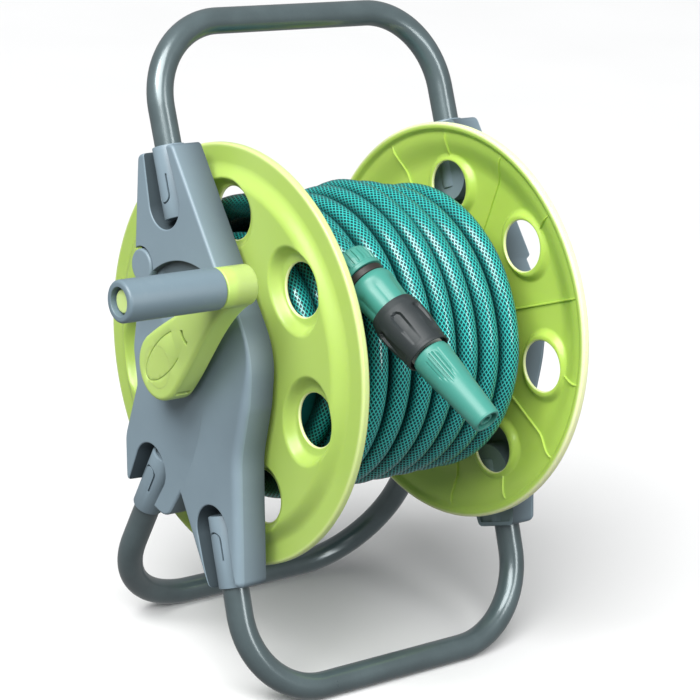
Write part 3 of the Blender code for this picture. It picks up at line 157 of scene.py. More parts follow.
def filleted(corners: Sequence[Triple], closed: bool = True, step: float = 12.0,
             guard: float = 0.0003) -> Array:
    """Draw an outline whose corners are arcs: centre plus radius times the turned start direction.

    Each arc has a guard point just beyond either end, which keeps the shading of the straights flat.

    Args:
        corners: (a, b, radius) of each corner; a radius of 0 keeps the corner sharp.
        closed: Whether the last corner joins the first.
        step: Largest angle between two points of an arc, in degrees.
        guard: How far the guard points lie beyond the arc's ends.

    Returns:
        Points of shape (n, 2). A closed outline repeats its first point at the end.
    """
    places = np.array([corner[:2] for corner in corners])
    outline = []
    count = len(corners)
    for index, (place, (_, _, radius)) in enumerate(zip(places, corners)):
        if radius == 0.0 or (not closed and index in (0, count - 1)):
            outline.append(place)
            continue
        before, after = places[index - 1] - place, places[(index + 1) % count] - place
        room = min(np.linalg.norm(before), np.linalg.norm(after)) / 2
        before, after = before / np.linalg.norm(before), after / np.linalg.norm(after)
        opening = math.acos(max(-1.0, min(1.0, float(before @ after))))
        reach = min(radius / math.tan(opening / 2), room)
        radius = reach * math.tan(opening / 2)
        middle = (before + after) / np.linalg.norm(before + after)
        centre = place + middle * radius / math.sin(opening / 2)
        turn = math.pi - opening
        way = 1.0 if before[0] * after[1] - before[1] * after[0] < 0 else -1.0
        angles = way * np.linspace(0.0, turn, max(3, math.ceil(math.degrees(turn) / step) + 1))
        start = place + before * reach - centre
        arc = centre + np.stack((np.cos(angles) * start[0] - np.sin(angles) * start[1],
                                 np.sin(angles) * start[0] + np.cos(angles) * start[1]), 1)
        if reach + guard < room:
            arc = np.concatenate(([place + before * (reach + guard)], arc, [place + after * (reach + guard)]))
        outline.extend(arc)
    outline = np.array(outline)
    return np.concatenate((outline, outline[:1])) if closed else outline


def turned(profile: Array, sides: int = 96, phase: float = 0.0, form: Form | None = None) -> Patch:
    """Turn a profile about the X axis: a point is (x, r sin a, r cos a) for each angle a.

    Args:
        profile: (radius, x) points, closed or with both ends on the axis.
        sides: Number of steps round the axis.
        phase: Angle of the first side.
        form: Shapes the radius, for ribs and hollows.

    Returns:
        The turned patch.
    """
    profile = np.asarray(profile, float)
    angle = np.linspace(0.0, 2 * math.pi, sides + 1)[None, :] + phase
    radius = np.repeat(profile[:, :1], sides + 1, axis=1)
    x = np.repeat(profile[:, 1:], sides + 1, axis=1)
    if form is not None:
        radius = np.where(radius > 0.0, form(np.broadcast_to(angle, x.shape), x, radius), 0.0)
    return lattice(np.stack((x, radius * np.sin(angle), radius * np.cos(angle)), 2))


def swept(path: Array, outwards: Array, radius: Array, sides: int, capped: bool = True) -> Patch:
    """Carry a circle along a path: centre + r (cos a * outwards + sin a * sideways).

    The outwards directions are squared up to the path, and sideways is the path's way crossed with them.
    U runs once round the tube, and V counts the path's length in metres.

    Args:
        path: Centre line of shape (n, 3).
        outwards: One direction, or one for each point.
        radius: One radius for each point.
        sides: Steps round the circle.
        capped: Whether the ends close in a point.

    Returns:
        The swept patch.
    """
    way = np.gradient(path, axis=0)
    way /= np.linalg.norm(way, axis=1)[:, None]
    outwards = np.broadcast_to(outwards, path.shape)
    outwards = outwards - np.sum(outwards * way, axis=1)[:, None] * way
    outwards = outwards / np.linalg.norm(outwards, axis=1)[:, None]
    sideways = np.cross(way, outwards)
    length = np.concatenate(([0.0], np.cumsum(np.linalg.norm(np.diff(path, axis=0), axis=1))))
    if capped:
        ends = [0, *range(len(path)), len(path) - 1]
        path, outwards, sideways, length = path[ends], outwards[ends], sideways[ends], length[ends]
        radius = np.concatenate(([0.0], radius, [0.0]))
    angle = np.linspace(0.0, 2 * math.pi, sides + 1)[None, :, None]
    points = path[:, None] + radius[:, None, None] * (np.cos(angle) * outwards[:, None]
                                                      + np.sin(angle) * sideways[:, None])
    around = np.broadcast_to(np.linspace(0.0, 1.0, sides + 1), points.shape[:2])
    uv = np.stack((around, np.broadcast_to(length[:, None], points.shape[:2])), 2)
    return lattice(points, uv)


def circle(radius: float, centre: Sequence[float] = (0.0, 0.0), count: int = 96) -> Array:
    """Return a closed ring of points about a centre."""
    angle = np.linspace(0.0, 2 * math.pi, count + 1)
    return np.stack((centre[0] + radius * np.cos(angle), centre[1] + radius * np.sin(angle)), 1)


def rings(radius: float, offsets: Sequence[float], centre: Sequence[float] = (0.0, 0.0),
          count: int = 96) -> list[Array]:
    """Return rings about one centre, each at the radius plus one of the offsets."""
    return [circle(radius + offset, centre, count) for offset in offsets]


def inset(outline: Array, distance: float) -> Array:
    """Move a closed outline inwards along the mean normal of each point's two sides."""
    ring = outline[:-1]
    before = ring - np.roll(ring, 1, axis=0)
    after = np.roll(ring, -1, axis=0) - ring
    before /= np.linalg.norm(before, axis=1)[:, None]
    after /= np.linalg.norm(after, axis=1)[:, None]
    mean = before + after
    mean /= np.linalg.norm(mean, axis=1)[:, None]
    normal = np.stack((-mean[:, 1], mean[:, 0]), axis=1)
    area = np.sum(ring[:, 0] * np.roll(ring[:, 1], -1) - np.roll(ring[:, 0], -1) * ring[:, 1])
    reach = distance / np.sum(normal * np.stack((-after[:, 1], after[:, 0]), axis=1), axis=1)
    moved = ring + normal * (reach * math.copysign(1.0, area))[:, None]
    return np.concatenate((moved, moved[:1]))


def bordered(outline: Array, distances: Array) -> list[Array]:
    """Return an outline and its insets by all the distances after the first."""
    return [outline] + [inset(outline, distance) for distance in distances[1:]]


def depth_inside(spots: Array, outline: Array) -> Array:
    """Distance of each spot from a closed outline: positive inside it, negative outside.

    The distance is the least over the outline's sides, and a spot lies inside where a ray from it
    crosses the outline an odd number of times.
    """
    start, end = outline[:-1][None], outline[1:][None]
    side = end - start
    toward = spots[:, None] - start
    share = np.clip(np.sum(toward * side, axis=2) / np.maximum(np.sum(side * side, axis=2), TINY), 0.0, 1.0)
    distance = np.linalg.norm(toward - share[..., None] * side, axis=2).min(axis=1)
    above = (start[..., 1] > spots[:, None, 1]) != (end[..., 1] > spots[:, None, 1])
    height = np.where(side[..., 1] == 0.0, TINY, side[..., 1])
    crossing = start[..., 0] + (spots[:, None, 1] - start[..., 1]) * side[..., 0] / height
    inside = np.sum(above & (spots[:, None, 0] < crossing), axis=1) % 2 == 1
    return np.where(inside, distance, -distance)


def tiled(rows: Sequence[Array], inside: Callable[[Array], Array]) -> tuple[Array, Array]:
    """Fill the plane between rows of points with triangles, and keep those that lie inside.

    Args:
        rows: Rows of (a, b) points. Each row stays an unbroken line of edges.
        inside: Tells for each triangle's centre whether the triangle is kept.

    Returns:
        The flat points and the kept triangles.
    """
    edges, start = [], 0
    for row in rows:
        index = np.arange(start, start + len(row) - 1)
        edges.append(np.stack((index, index + 1), 1))
        start += len(row)
    found = delaunay_2d_cdt([Vector(spot) for spot in np.concatenate(rows).tolist()],
                            np.concatenate(edges).tolist(), [], 0, 1e-7)
    flat = np.array([tuple(spot) for spot in found[0]])
    triangles = np.array([face for face in found[2] if len(face) == 3])
    kept = triangles[inside(flat[triangles].mean(axis=1))]
    used, renumbered = np.unique(kept, return_inverse=True)
    return flat[used], renumbered.reshape(-1, 3)


def border(triangles: Array) -> Array:
    """Return the edges that only one triangle has, as pairs of point numbers."""
    edges = np.concatenate((triangles[:, :2], triangles[:, 1:], triangles[:, ::2]))
    ordered = np.sort(edges, axis=1)
    _, first, counts = np.unique(ordered, axis=0, return_index=True, return_counts=True)
    return edges[first[counts == 1]]


def skirt(points: Array, triangles: Array, level: float) -> Patch:
    """Join a relief's border straight along X to a level: each border edge makes one four-sided strip."""
    edges = border(triangles)
    foot = points.copy()
    foot[:, 0] = level
    count = len(points)
    first, second = edges[:, 0], edges[:, 1]
    strips = np.concatenate((np.stack((first, second, second + count), 1),
                             np.stack((first, second + count, first + count), 1)))
    return Patch(np.concatenate((points, foot)), strips)


def ease(value: Array) -> Array:
    """Smooth step: 3 v squared - 2 v cubed, with v held between 0 and 1."""
    held = np.clip(value, 0.0, 1.0)
    return held * held * (3.0 - 2.0 * held)


def rise(value: Array, fade: Pair) -> Array:
    """Rise smoothly from 0 at the fade's start to 1 at the end of its run."""
    return ease((value - fade[0]) / fade[1])


def fall(value: Array, fade: Pair) -> Array:
    """Rise smoothly from 0 at the fade's start to 1 below it, at the end of its run."""
    return ease((fade[0] - value) / fade[1])


def edge_drop(distance: Array, radius: Array | float) -> Array:
    """How far a quarter-round edge lies below its face: r - sqrt(r^2 - (r - d)^2) at distance d."""
    inwards = np.clip(radius - distance, 0.0, radius)
    return radius - np.sqrt(np.maximum(radius ** 2 - inwards ** 2, 0.0))


def edge_rows(radius: float, steps: int = 6) -> Array:
    """Distances from the edge at which a quarter-round edge needs a row: r (1 - sin a), then a guard."""
    angles = np.linspace(math.pi / 2, 0.0, steps + 1)
    return np.append(radius * (1.0 - np.sin(angles)), 1.25 * radius)


def hermite(share: Array, start: float, end: float, start_slope: float, end_slope: float) -> Array:
    """Cubic from start to end for a share from 0 to 1, with a given slope at each end."""
    return ((1.0 + 2.0 * share) * (1.0 - share) ** 2 * start + share ** 2 * (3.0 - 2.0 * share) * end
            + share * (1.0 - share) ** 2 * start_slope + share ** 2 * (share - 1.0) * end_slope)


def polar(radius: Array | float, degrees: Array | float) -> Array:
    """(y, z) at a radius and an angle in degrees from the front (-Y) upwards (+Z)."""
    turn = np.radians(degrees)
    return np.stack((-radius * np.cos(turn), radius * np.sin(turn)), -1)


def square_to(way: Array) -> Array:
    """Return a flat direction turned by a quarter."""
    return np.array((-way[1], way[0]))


def added(name: str, data: bpy.types.ID) -> bpy.types.Object:
    """Put an object with the given data into the scene."""
    made = bpy.data.objects.new(name, data)
    bpy.context.scene.collection.objects.link(made)
    return made


def scaled(colour: Sequence[float], gain: float) -> tuple[float, ...]:
    """Return a colour with each part times a gain."""
    return tuple(value * gain for value in colour)


# Finishes


class Shade:
    """A socket whose value varies over a surface, used as a number in a Python expression."""

    def __init__(self, tree: Tree, socket: bpy.types.NodeSocket) -> None:
        """Wrap a socket of a tree."""
        self.tree = tree
        self.socket = socket

    def math(self, operation: str, *others: Shade | float) -> Shade:
        """Put the value through a Math node with the other values after it."""
        return self.tree.node("ShaderNodeMath", {"operation": operation}, dict(enumerate((self, *others))))

    def __add__(self, other: Shade | float) -> Shade:
        """Return self + other."""
        return self.math("ADD", other)

    __radd__ = __add__

    def __mul__(self, other: Shade | float) -> Shade:
        """Return self * other."""
        return self.math("MULTIPLY", other)

    __rmul__ = __mul__

    def __sub__(self, other: Shade | float) -> Shade:
        """Return self - other."""
        return self.math("SUBTRACT", other)

    def __rsub__(self, other: float) -> Shade:
        """Return other - self."""
        return (self * -1.0) + other

    def __truediv__(self, other: Shade | float) -> Shade:
        """Return self / other."""
        return self.math("DIVIDE", other)

    def held(self) -> Shade:
        """Hold the value between 0 and 1."""
        return self.math("MAXIMUM", 0.0).math("MINIMUM", 1.0)

    def ramped(self, start: float, end: float) -> Shade:
        """Rise smoothly from 0 at start to 1 at end, or fall where end is the lower."""
        low, high, floor, top = (start, end, 0.0, 1.0) if start < end else (end, start, 1.0, 0.0)
        values = {0: self, 1: low, 2: high, 3: floor, 4: top}
        return self.tree.node("ShaderNodeMapRange", {"interpolation_type": "SMOOTHSTEP"}, values)


class Tree:
    """One material's nodes, with its Principled shader."""

    def __init__(self, name: str) -> None:
        """Start a material with only its output and its shader."""
        self.material = bpy.data.materials.new(name)
        self.material.use_nodes = True
        self.nodes = self.material.node_tree.nodes
        self.links = self.material.node_tree.links
        self.shader = self.nodes["Principled BSDF"]

    def node(self, kind: str, settings: dict | None = None, inputs: dict | None = None,
             output: int | str = 0) -> Shade:
        """Add a node.

        Args:
            kind: The node's type.
            settings: Properties, which are set first.
            inputs: Values or links by socket name or number.
            output: Which output to return.

        Returns:
            The chosen output.
        """
        made = self.nodes.new(kind)
        for key, value in (settings or {}).items():
            setattr(made, key, value)
        for key, value in (inputs or {}).items():
            if isinstance(value, Shade):
                self.links.new(value.socket, made.inputs[key])
            else:
                made.inputs[key].default_value = value
        return Shade(self, made.outputs[output])

    def place(self) -> Shade:
        """Return the Object coordinates, which are row-frame metres because every object is unturned."""
        return self.node("ShaderNodeTexCoord", output="Object")

    def vector(self, operation: str, *values: Shade | Sequence[float], output: int = 0) -> Shade:
        """Put vectors through a Vector Math node."""
        return self.node("ShaderNodeVectorMath", {"operation": operation}, dict(enumerate(values)), output)

    def parts(self, vector: Shade) -> list[Shade]:
        """Return a vector's X, Y and Z."""
        split = self.node("ShaderNodeSeparateXYZ", inputs={0: vector})
        return [Shade(self, socket) for socket in split.socket.node.outputs]

    def follows(self) -> list[Shade]:
        """Return the piece's own U and V."""
        return self.parts(self.node("ShaderNodeUVMap", {"uv_map": "surface"}))[:2]

    def noise(self, scale: float, detail: float = 3.0, where: Shade | None = None) -> Shade:
        """Return a cloudy pattern from 0 to 1, with scale features to the metre."""
        inputs = {"Vector": where or self.place(), "Scale": scale, "Detail": detail}
        return self.node("ShaderNodeTexNoise", inputs=inputs)

    def blended(self, factor: Shade, first: Sequence[float] | Shade,
                second: Sequence[float] | Shade) -> Shade:
        """Mix two colours, giving the first at 0 and the second at 1."""
        colours = [value if isinstance(value, Shade) else (*value, 1.0) for value in (first, second)]
        return self.node("ShaderNodeMix", {"data_type": "RGBA"},
                         {"Factor": factor, 6: colours[0], 7: colours[1]}, output=2)

    def darkened(self, colour: Shade, share: float, shade: Sequence[float]) -> Shade:
        """Blend a colour towards a painted shade by U, the share of painted shade stored on each point."""
        return self.blended(self.follows()[0] * share, colour, shade) if share else colour

    def dress(self, colour: Shade, roughness: Shade, height: Shade | None = None, bump: float = 0.0,
              **uniform: float | tuple) -> bpy.types.Material:
        """Wire the shader.

        Args:
            colour: Base colour.
            roughness: Roughness.
            height: Height of the fine relief, in metres.
            bump: Strength of the relief.
            uniform: Values that are the same all over, by socket name with _ for spaces.

        Returns:
            The material.
        """
        self.links.new(colour.socket, self.shader.inputs["Base Color"])
        self.links.new(roughness.socket, self.shader.inputs["Roughness"])
        if height is not None:
            normal = self.node("ShaderNodeBump", inputs={"Strength": bump, "Distance": 1.0, "Height": height})
            self.links.new(normal.socket, self.shader.inputs["Normal"])
        for key, value in uniform.items():
            self.shader.inputs[key.replace("_", " ")].default_value = value
        return self.material


@dataclass(frozen=True)
class Look:
    """What every finish has: its name and a slot's name."""

    name: str
    slot: str

    def material(self) -> bpy.types.Material:
        """Build the material."""
        raise NotImplementedError


@dataclass(frozen=True)
class MouldedPlastic(Look):
    """Coloured plastic with a fine satin grain, slow colour clouds, faint rub marks and, by U, painted shade.
    """

    colour: Triple
    roughness: float = 0.42
    grain: float = 0.00002
    grain_scale: float = 2600.0
    cloud: float = 0.10
    rubbed: Triple = (0.50, 0.55, 0.56)
    # hollows is how strongly the painted shade stored in U darkens the colour, and shade is that painted
    # shade's colour.
    hollows: float = 0.0
    shade: Triple = (0.015, 0.022, 0.024)

    def material(self) -> bpy.types.Material:
        """Build the material."""
        tree = Tree(self.name)
        clouds = tree.noise(22.0)
        rubs = tree.noise(140.0, 5.0).ramped(0.56, 0.72)
        grain = tree.noise(self.grain_scale, 2.0)
        dark, light = (scaled(self.colour, 1.0 + cloud) for cloud in (-self.cloud, self.cloud))
        colour = tree.blended(rubs * 0.02, tree.blended(clouds, dark, light), self.rubbed)
        # Painted shade: darken towards the shade colour by U.
        colour = tree.darkened(colour, self.hollows, self.shade)
        roughness = (clouds * 0.08 + rubs * 0.03 + (self.roughness - 0.04)).held()
        return tree.dress(colour, roughness, grain * self.grain, 0.7, Specular_IOR_Level=0.5)


@dataclass(frozen=True)
class LimePlastic(Look):
    """Slightly see-through lime plastic with a painted glow at the rim and round the holes.

    The glow is a paler colour painted on to stand in for light shining through the plastic there. A fade
    runs between two distances from its edge. Without holes only the rim glows.
    """

    body: Triple = (0.425, 0.580, 0.135)
    deep: Triple = (0.335, 0.505, 0.085)
    # pale is the painted glow's colour, and rim how strongly the rim glows.
    pale: Triple = (0.82, 0.86, 0.500)
    rim: float = 0.40
    rim_glow_fade: Pair = (0.0034, 0.0006)
    holed: bool = True
    # hollows is how strongly the painted shade stored in U darkens the colour, and shade is that painted
    # shade's colour.
    hollows: float = 0.0
    shade: Triple = (0.08, 0.16, 0.012)
    side: Side = Side.CRANK
    hole_glow_fade: Pair = (0.0012, 0.0002)
    hole_glow_share: float = 0.75

    def hole_glow_mask(self, tree: Tree) -> Shade:
        """Painted glow's mask: 1 at the holes' edges and 0 away from them, by folding the angle into one
        sector.
        """
        _, y, z = tree.parts(tree.vector("SUBTRACT", tree.place(), tuple(HUB)))
        sector = 2 * math.pi / HOLES
        start = math.radians(FIRST_HOLE[self.side]) - sector / 2
        angle = z.math("ARCTAN2", y * -1.0) + (4 * math.pi - start)
        folded = angle.math("MODULO", sector) - sector / 2
        radius = (y * y + z * z).math("SQRT")
        radial = radius * folded.math("COSINE") - HOLE_CIRCLE
        tangent = radius * folded.math("SINE")
        distance = (radial * radial + tangent * tangent).math("SQRT")
        return distance.ramped(*(HOLE_RADIUS + fade for fade in self.hole_glow_fade))

    def material(self) -> bpy.types.Material:
        """Build the material."""
        tree = Tree(self.name)
        from_hub = tree.vector("SUBTRACT", tree.place(), tuple(HUB))
        radius = tree.vector("LENGTH", tree.vector("MULTIPLY", from_hub, (0.0, 1.0, 1.0)), output=1)
        clouds = tree.noise(14.0)
        flow = tree.noise(9.0, 2.0).ramped(0.30, 0.75)
        grain = tree.noise(1500.0, 2.0)
        body = tree.blended(flow * 0.45, self.body, self.deep)
        # Painted glow: a paler colour at the rim and round the holes, standing in for light through the
        # plastic.
        rim = radius.ramped(*(RIM_RADIUS - fade for fade in self.rim_glow_fade)) * self.rim
        glow_mask = rim.math("MAXIMUM", self.hole_glow_mask(tree) * self.hole_glow_share) if self.holed else rim
        colour = tree.darkened(tree.blended(glow_mask, body, self.pale), self.hollows, self.shade)
        roughness = (clouds * 0.12 + 0.26).held()
        return tree.dress(colour, roughness, grain * 0.00001, 0.6, Specular_IOR_Level=0.5,
                          Subsurface_Weight=0.35, Subsurface_Radius=(0.9, 1.0, 0.3), Subsurface_Scale=0.006)


@dataclass(frozen=True)
class PaintedTube(Look):
    """Steel tube with a satin grey paint that shows a fine metal flake."""

    colour: Triple = (0.082, 0.112, 0.119)
    flake_gain: float = 1.45

    def material(self) -> bpy.types.Material:
        """Build the material."""
        tree = Tree(self.name)
        flake = tree.noise(5200.0, 1.0)
        clouds = tree.noise(30.0, 4.0)
        peel = tree.noise(420.0, 2.0)
        colour = tree.blended((flake * 0.5 + clouds * 0.5).ramped(0.35, 0.70), self.colour,
                              scaled(self.colour, self.flake_gain))
        roughness = (clouds * 0.12 + 0.24).held()
        return tree.dress(colour, roughness, peel * 0.00003, 0.5, Metallic=0.35, Coat_Weight=0.90,
                          Coat_Roughness=0.16)


@dataclass(frozen=True)
class BraidedHose(Look):
    """Clear green hose over a braid, with painted shade where its loops meet: threads wind both ways and
    leave dark diamonds between them.
    """

    threads: float = 18.0
    pitch: float = 0.0042
    worn: float = 0.75
    thread: Triple = (0.038, 0.60, 0.55)
    cell: Triple = (0.001, 0.040, 0.045)
    # gap is the colour of the painted shade between loops, and the share below is how far it darkens.
    gap: Triple = (0.001, 0.030, 0.030)
    gap_painted_shade_share: float = 0.88

    def material(self) -> bpy.types.Material:
        """Build the material."""
        tree = Tree(self.name)
        around, along = tree.follows()
        turn = around * (self.threads * math.pi)
        run = along * (math.pi / self.pitch)
        left = (turn + run).math("SINE").math("ABSOLUTE")
        right = (turn - run).math("SINE").math("ABSOLUTE")
        cells = left.math("MINIMUM", right).ramped(0.22, 0.58)
        wander = tree.noise(60.0, 3.0)
        thread = tree.blended(wander, scaled(self.thread, self.worn), self.thread)
        # Painted shade between loops: the hose's sides, where loops meet, darken towards gap; U = 0.5 gives
        # full shade.
        between = (around * (2 * math.pi)).math("COSINE").ramped(0.92, 0.06)
        colour = tree.blended(between * self.gap_painted_shade_share, tree.blended(cells, thread, self.cell), self.gap)
        roughness = (wander * 0.08 + cells * 0.25 + 0.22).held()
        # The coat is dimmed where the painted shade lies.
        coat = ((1.0 - cells) * 0.9 + 0.1) * (1.0 - between * 0.7)
        tree.links.new(coat.socket, tree.shader.inputs["Coat Weight"])
        return tree.dress(colour, roughness, cells * -0.0003, 0.8, Coat_Roughness=0.20, Coat_IOR=1.7,
                          Specular_IOR_Level=0.2)


@dataclass(frozen=True)
class SoftRubber(Look):
    """Matt dark rubber with a fine stipple and dusty high spots."""

    colour: Triple = (0.019, 0.025, 0.027)
    dusty: Triple = (0.060, 0.071, 0.073)

    def material(self) -> bpy.types.Material:
        """Build the material."""
        tree = Tree(self.name)
        stipple = tree.noise(3200.0, 2.0)
        dust = tree.noise(90.0, 5.0).ramped(0.45, 0.75)
        colour = tree.blended(dust * 0.25, self.colour, self.dusty)
        roughness = (dust * 0.12 + 0.52).held()
        return tree.dress(colour, roughness, stipple * 0.00004, 0.7)


@dataclass(frozen=True)
class ZincSteel(Look):
    """Zinc-plated steel with cloudy reflections."""

    dull: Triple = (0.50, 0.50, 0.48)
    bright: Triple = (0.72, 0.72, 0.70)

    def material(self) -> bpy.types.Material:
        """Build the material."""
        tree = Tree(self.name)
        clouds = tree.noise(700.0, 4.0)
        colour = tree.blended(clouds, self.dull, self.bright)
        return tree.dress(colour, (clouds * 0.25 + 0.22).held(), clouds * 0.00002, 0.4, Metallic=1.0)


class Finish(Enum):
    """The finishes of the reel, each made once when it is first used."""

    PLATE = MouldedPlastic("plate_plastic", "plate_plastic", (0.205, 0.275, 0.322), 0.44)
    # Plate plastic with painted shade by U: in the pockets, slits, ear's gap, along the side walls and under
    # the recess's rear wall.
    SIDE = MouldedPlastic("side_plastic", "plate_plastic", (0.205, 0.275, 0.322), 0.44, hollows=0.92)
    GRIP = MouldedPlastic("grip_plastic", "plate_plastic", (0.152, 0.212, 0.250), 0.38)
    LIME = LimePlastic("lime_plastic", "lime_plastic")
    # A brighter copy of the lime plastic for the far flange: painted light, with a full painted glow at its
    # rim.
    LIME_FAR = LimePlastic("lime_plastic_far", "lime_plastic", (0.45, 0.64, 0.110), (0.37, 0.56, 0.070),
                           rim=1.0, side=Side.FAR)
    # A lighter copy of the lime plastic for the retainer: painted light, for the stronger light on it.
    LIME_PLAIN = LimePlastic("lime_plastic_plain", "lime_plastic", (0.60, 0.74, 0.290),
                             (0.50, 0.66, 0.200), holed=False)
    # A lighter copy of the lime plastic for the crank arm and cap: painted light, with painted shade by U in
    # the marks and notch.
    LIME_ARM = LimePlastic("lime_plastic_arm", "lime_plastic", (0.51, 0.68, 0.190), (0.41, 0.60, 0.120),
                           holed=False, hollows=0.80)
    TUBE = PaintedTube("painted_tube", "painted_tube")
    HOSE = BraidedHose("hose_braid", "hose_pvc")
    TEAL = MouldedPlastic("teal_plastic", "teal_plastic", (0.055, 0.262, 0.212), 0.38, grain=0.000008,
                          cloud=0.06)
    COLLAR = SoftRubber("soft_grip", "soft_grip")
    RING = SoftRubber("clamp_ring", "clamp_ring", (0.022, 0.018, 0.016))
    BEARING = MouldedPlastic("bearing_plastic", "bearing_plastic", (0.70, 0.70, 0.66), 0.45, cloud=0.04)
    SEAL = SoftRubber("seal_rubber", "seal_rubber", (0.02, 0.02, 0.02))
    ZINC = ZincSteel("zinc_steel", "zinc_steel")

    def material(self) -> bpy.types.Material:
        """Return the finish's material, which gets its lasting name when it is made."""
        name = self.value.name + "_look"
        material = bpy.data.materials.get(name) or self.value.material()
        material.name = name
        return material


@dataclass(frozen=True)
class Role:
    """What a finished piece stands for: its body, its finish, and the solids that it replaces.

    Without nodes it replaces the solid of its own name. Edges sharper than crisp, in degrees, stay crisp.
    """

    name: str
    body: str
    finish: Finish
    crisp: float = 38.0
    nodes: tuple[str, ...] = ()


def set_piece(role: Role, patches: Sequence[Patch]) -> bpy.types.Object:
    """Make one object from patches built about the hub.

    Points that meet are merged, faces are turned outwards, and edges sharper than the role's angle
    stay crisp.

    Args:
        role: What the piece stands for.
        patches: Its surfaces, each a closed shell or closed together.

    Returns:
        The finished object, in the row frame.
    """
    offsets = np.cumsum([0] + [len(patch.points) for patch in patches])
    points = np.concatenate([patch.points for patch in patches]) + HUB
    triangles = np.concatenate([patch.triangles + offset for patch, offset in zip(patches, offsets)])
    mesh = bpy.data.meshes.new(role.name)
    mesh.vertices.add(len(points))
    mesh.vertices.foreach_set("co", points.ravel())
    mesh.loops.add(triangles.size)
    mesh.loops.foreach_set("vertex_index", triangles.ravel())
    mesh.polygons.add(len(triangles))
    mesh.polygons.foreach_set("loop_start", np.arange(0, triangles.size, 3))
    mesh.update()
    if patches[0].corner_uv is not None:
        layer = mesh.uv_layers.new(name="surface")
        layer.uv.foreach_set("vector", np.concatenate([patch.corner_uv for patch in patches]).ravel())
    shape = bmesh.new()
    shape.from_mesh(mesh)
    bmesh.ops.remove_doubles(shape, verts=shape.verts[:], dist=0.000002)
    bmesh.ops.dissolve_degenerate(shape, edges=shape.edges[:], dist=0.0000005)
    bmesh.ops.recalc_face_normals(shape, faces=shape.faces[:])
    shape.to_mesh(mesh)
    shape.free()
    mesh.shade_smooth()
    mesh.set_sharp_from_angle(angle=math.radians(role.crisp))
    mesh.materials.append(role.finish.material())
    piece = added(role.name, mesh)
    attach(piece, role.body)
    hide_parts(*(role.nodes or (role.name,)))
    LOG.info("%s: %d triangles", role.name, len(mesh.polygons))
    return piece


# Frame


@dataclass(frozen=True)
class Leg:
    """One U tube: where its bar lies across the reel's axis, and how its sockets sit on it."""

    name: str
    bar: Pair
    lean: float
    up: float
    bend: float
    socket: float
    pocket: float
    pocket_mouth: float
    mouth: float

    def along(self) -> Array:
        """Unit direction of the leg in (y, z), pointing away from the hub."""
        tilt = math.radians(self.lean)
        return np.array((math.sin(tilt), self.up * math.cos(tilt)))

    def across(self) -> Array:
        """Unit direction square to the leg in (y, z)."""
        return square_to(self.along())

    def point(self, distance: Array | float, offset: Array | float = 0.0) -> Array:
        """(y, z) of places by their distance along the leg and their offset across it."""
        distance, offset = np.asarray(distance, float)[..., None], np.asarray(offset, float)[..., None]
        side = self.across()
        return distance * self.along() + (np.dot(self.bar, side) + offset) * side

    def bar_distance(self) -> float:
        """How far the bar's centre lies along the leg."""
        return float(np.dot(self.bar, self.along()))


HANDLE = Leg("handle_tube", (0.0880, 0.2200), lean=23.75, up=1.0, bend=0.0600, socket=0.0995,
             pocket=0.1110, pocket_mouth=0.0135, mouth=0.1485)
FRONT = Leg("front_foot_tube", (-0.0870, -0.2268), lean=-21.0, up=-1.0, bend=0.0635, socket=0.1090,
            pocket=0.1190, pocket_mouth=0.0165, mouth=0.1600)
REAR = Leg("rear_foot_tube", (0.1004, -0.2268), lean=25.0, up=-1.0, bend=0.0740, socket=0.0860,
           pocket=0.0980, pocket_mouth=0.0155, mouth=0.1240)
LEGS = (HANDLE, FRONT, REAR)
LEG_X = 0.1279
TUBE_RADIUS = 0.0095


@dataclass
class TubeFrame:
    """The handle and the two feet, each one bent steel tube."""

    bend_steps: int = 28
    sides: int = 40
    depth_in_socket: float = 0.0028
    straight: float = 0.0200
    bar_half: float = 0.0100

    def tube(self, leg: Leg) -> Patch:
        """Sweep a circle along one U: straight leg, quarter bend, bar, quarter bend, straight leg."""
        turn = np.linspace(0.0, math.pi / 2, self.bend_steps)
        bar = leg.bar_distance()
        x = np.concatenate(([-LEG_X] * 2, -LEG_X + leg.bend * (1.0 - np.cos(turn)), [-self.bar_half]))
        start = leg.socket + self.depth_in_socket
        distance = np.concatenate(([start, start + self.straight],
                                   bar - leg.bend * (1.0 - np.sin(turn)), [bar]))
        x, distance = np.concatenate((x, -x[::-1])), np.concatenate((distance, distance[::-1]))
        path = np.concatenate((x[:, None], leg.point(distance)), 1)
        return swept(path, np.array((0.0, *leg.across())), np.full(len(path), TUBE_RADIUS), self.sides)

    def build(self) -> None:
        """Make the three tubes."""
        for leg in LEGS:
            set_piece(Role(leg.name, "frame", Finish.TUBE), [self.tube(leg)])


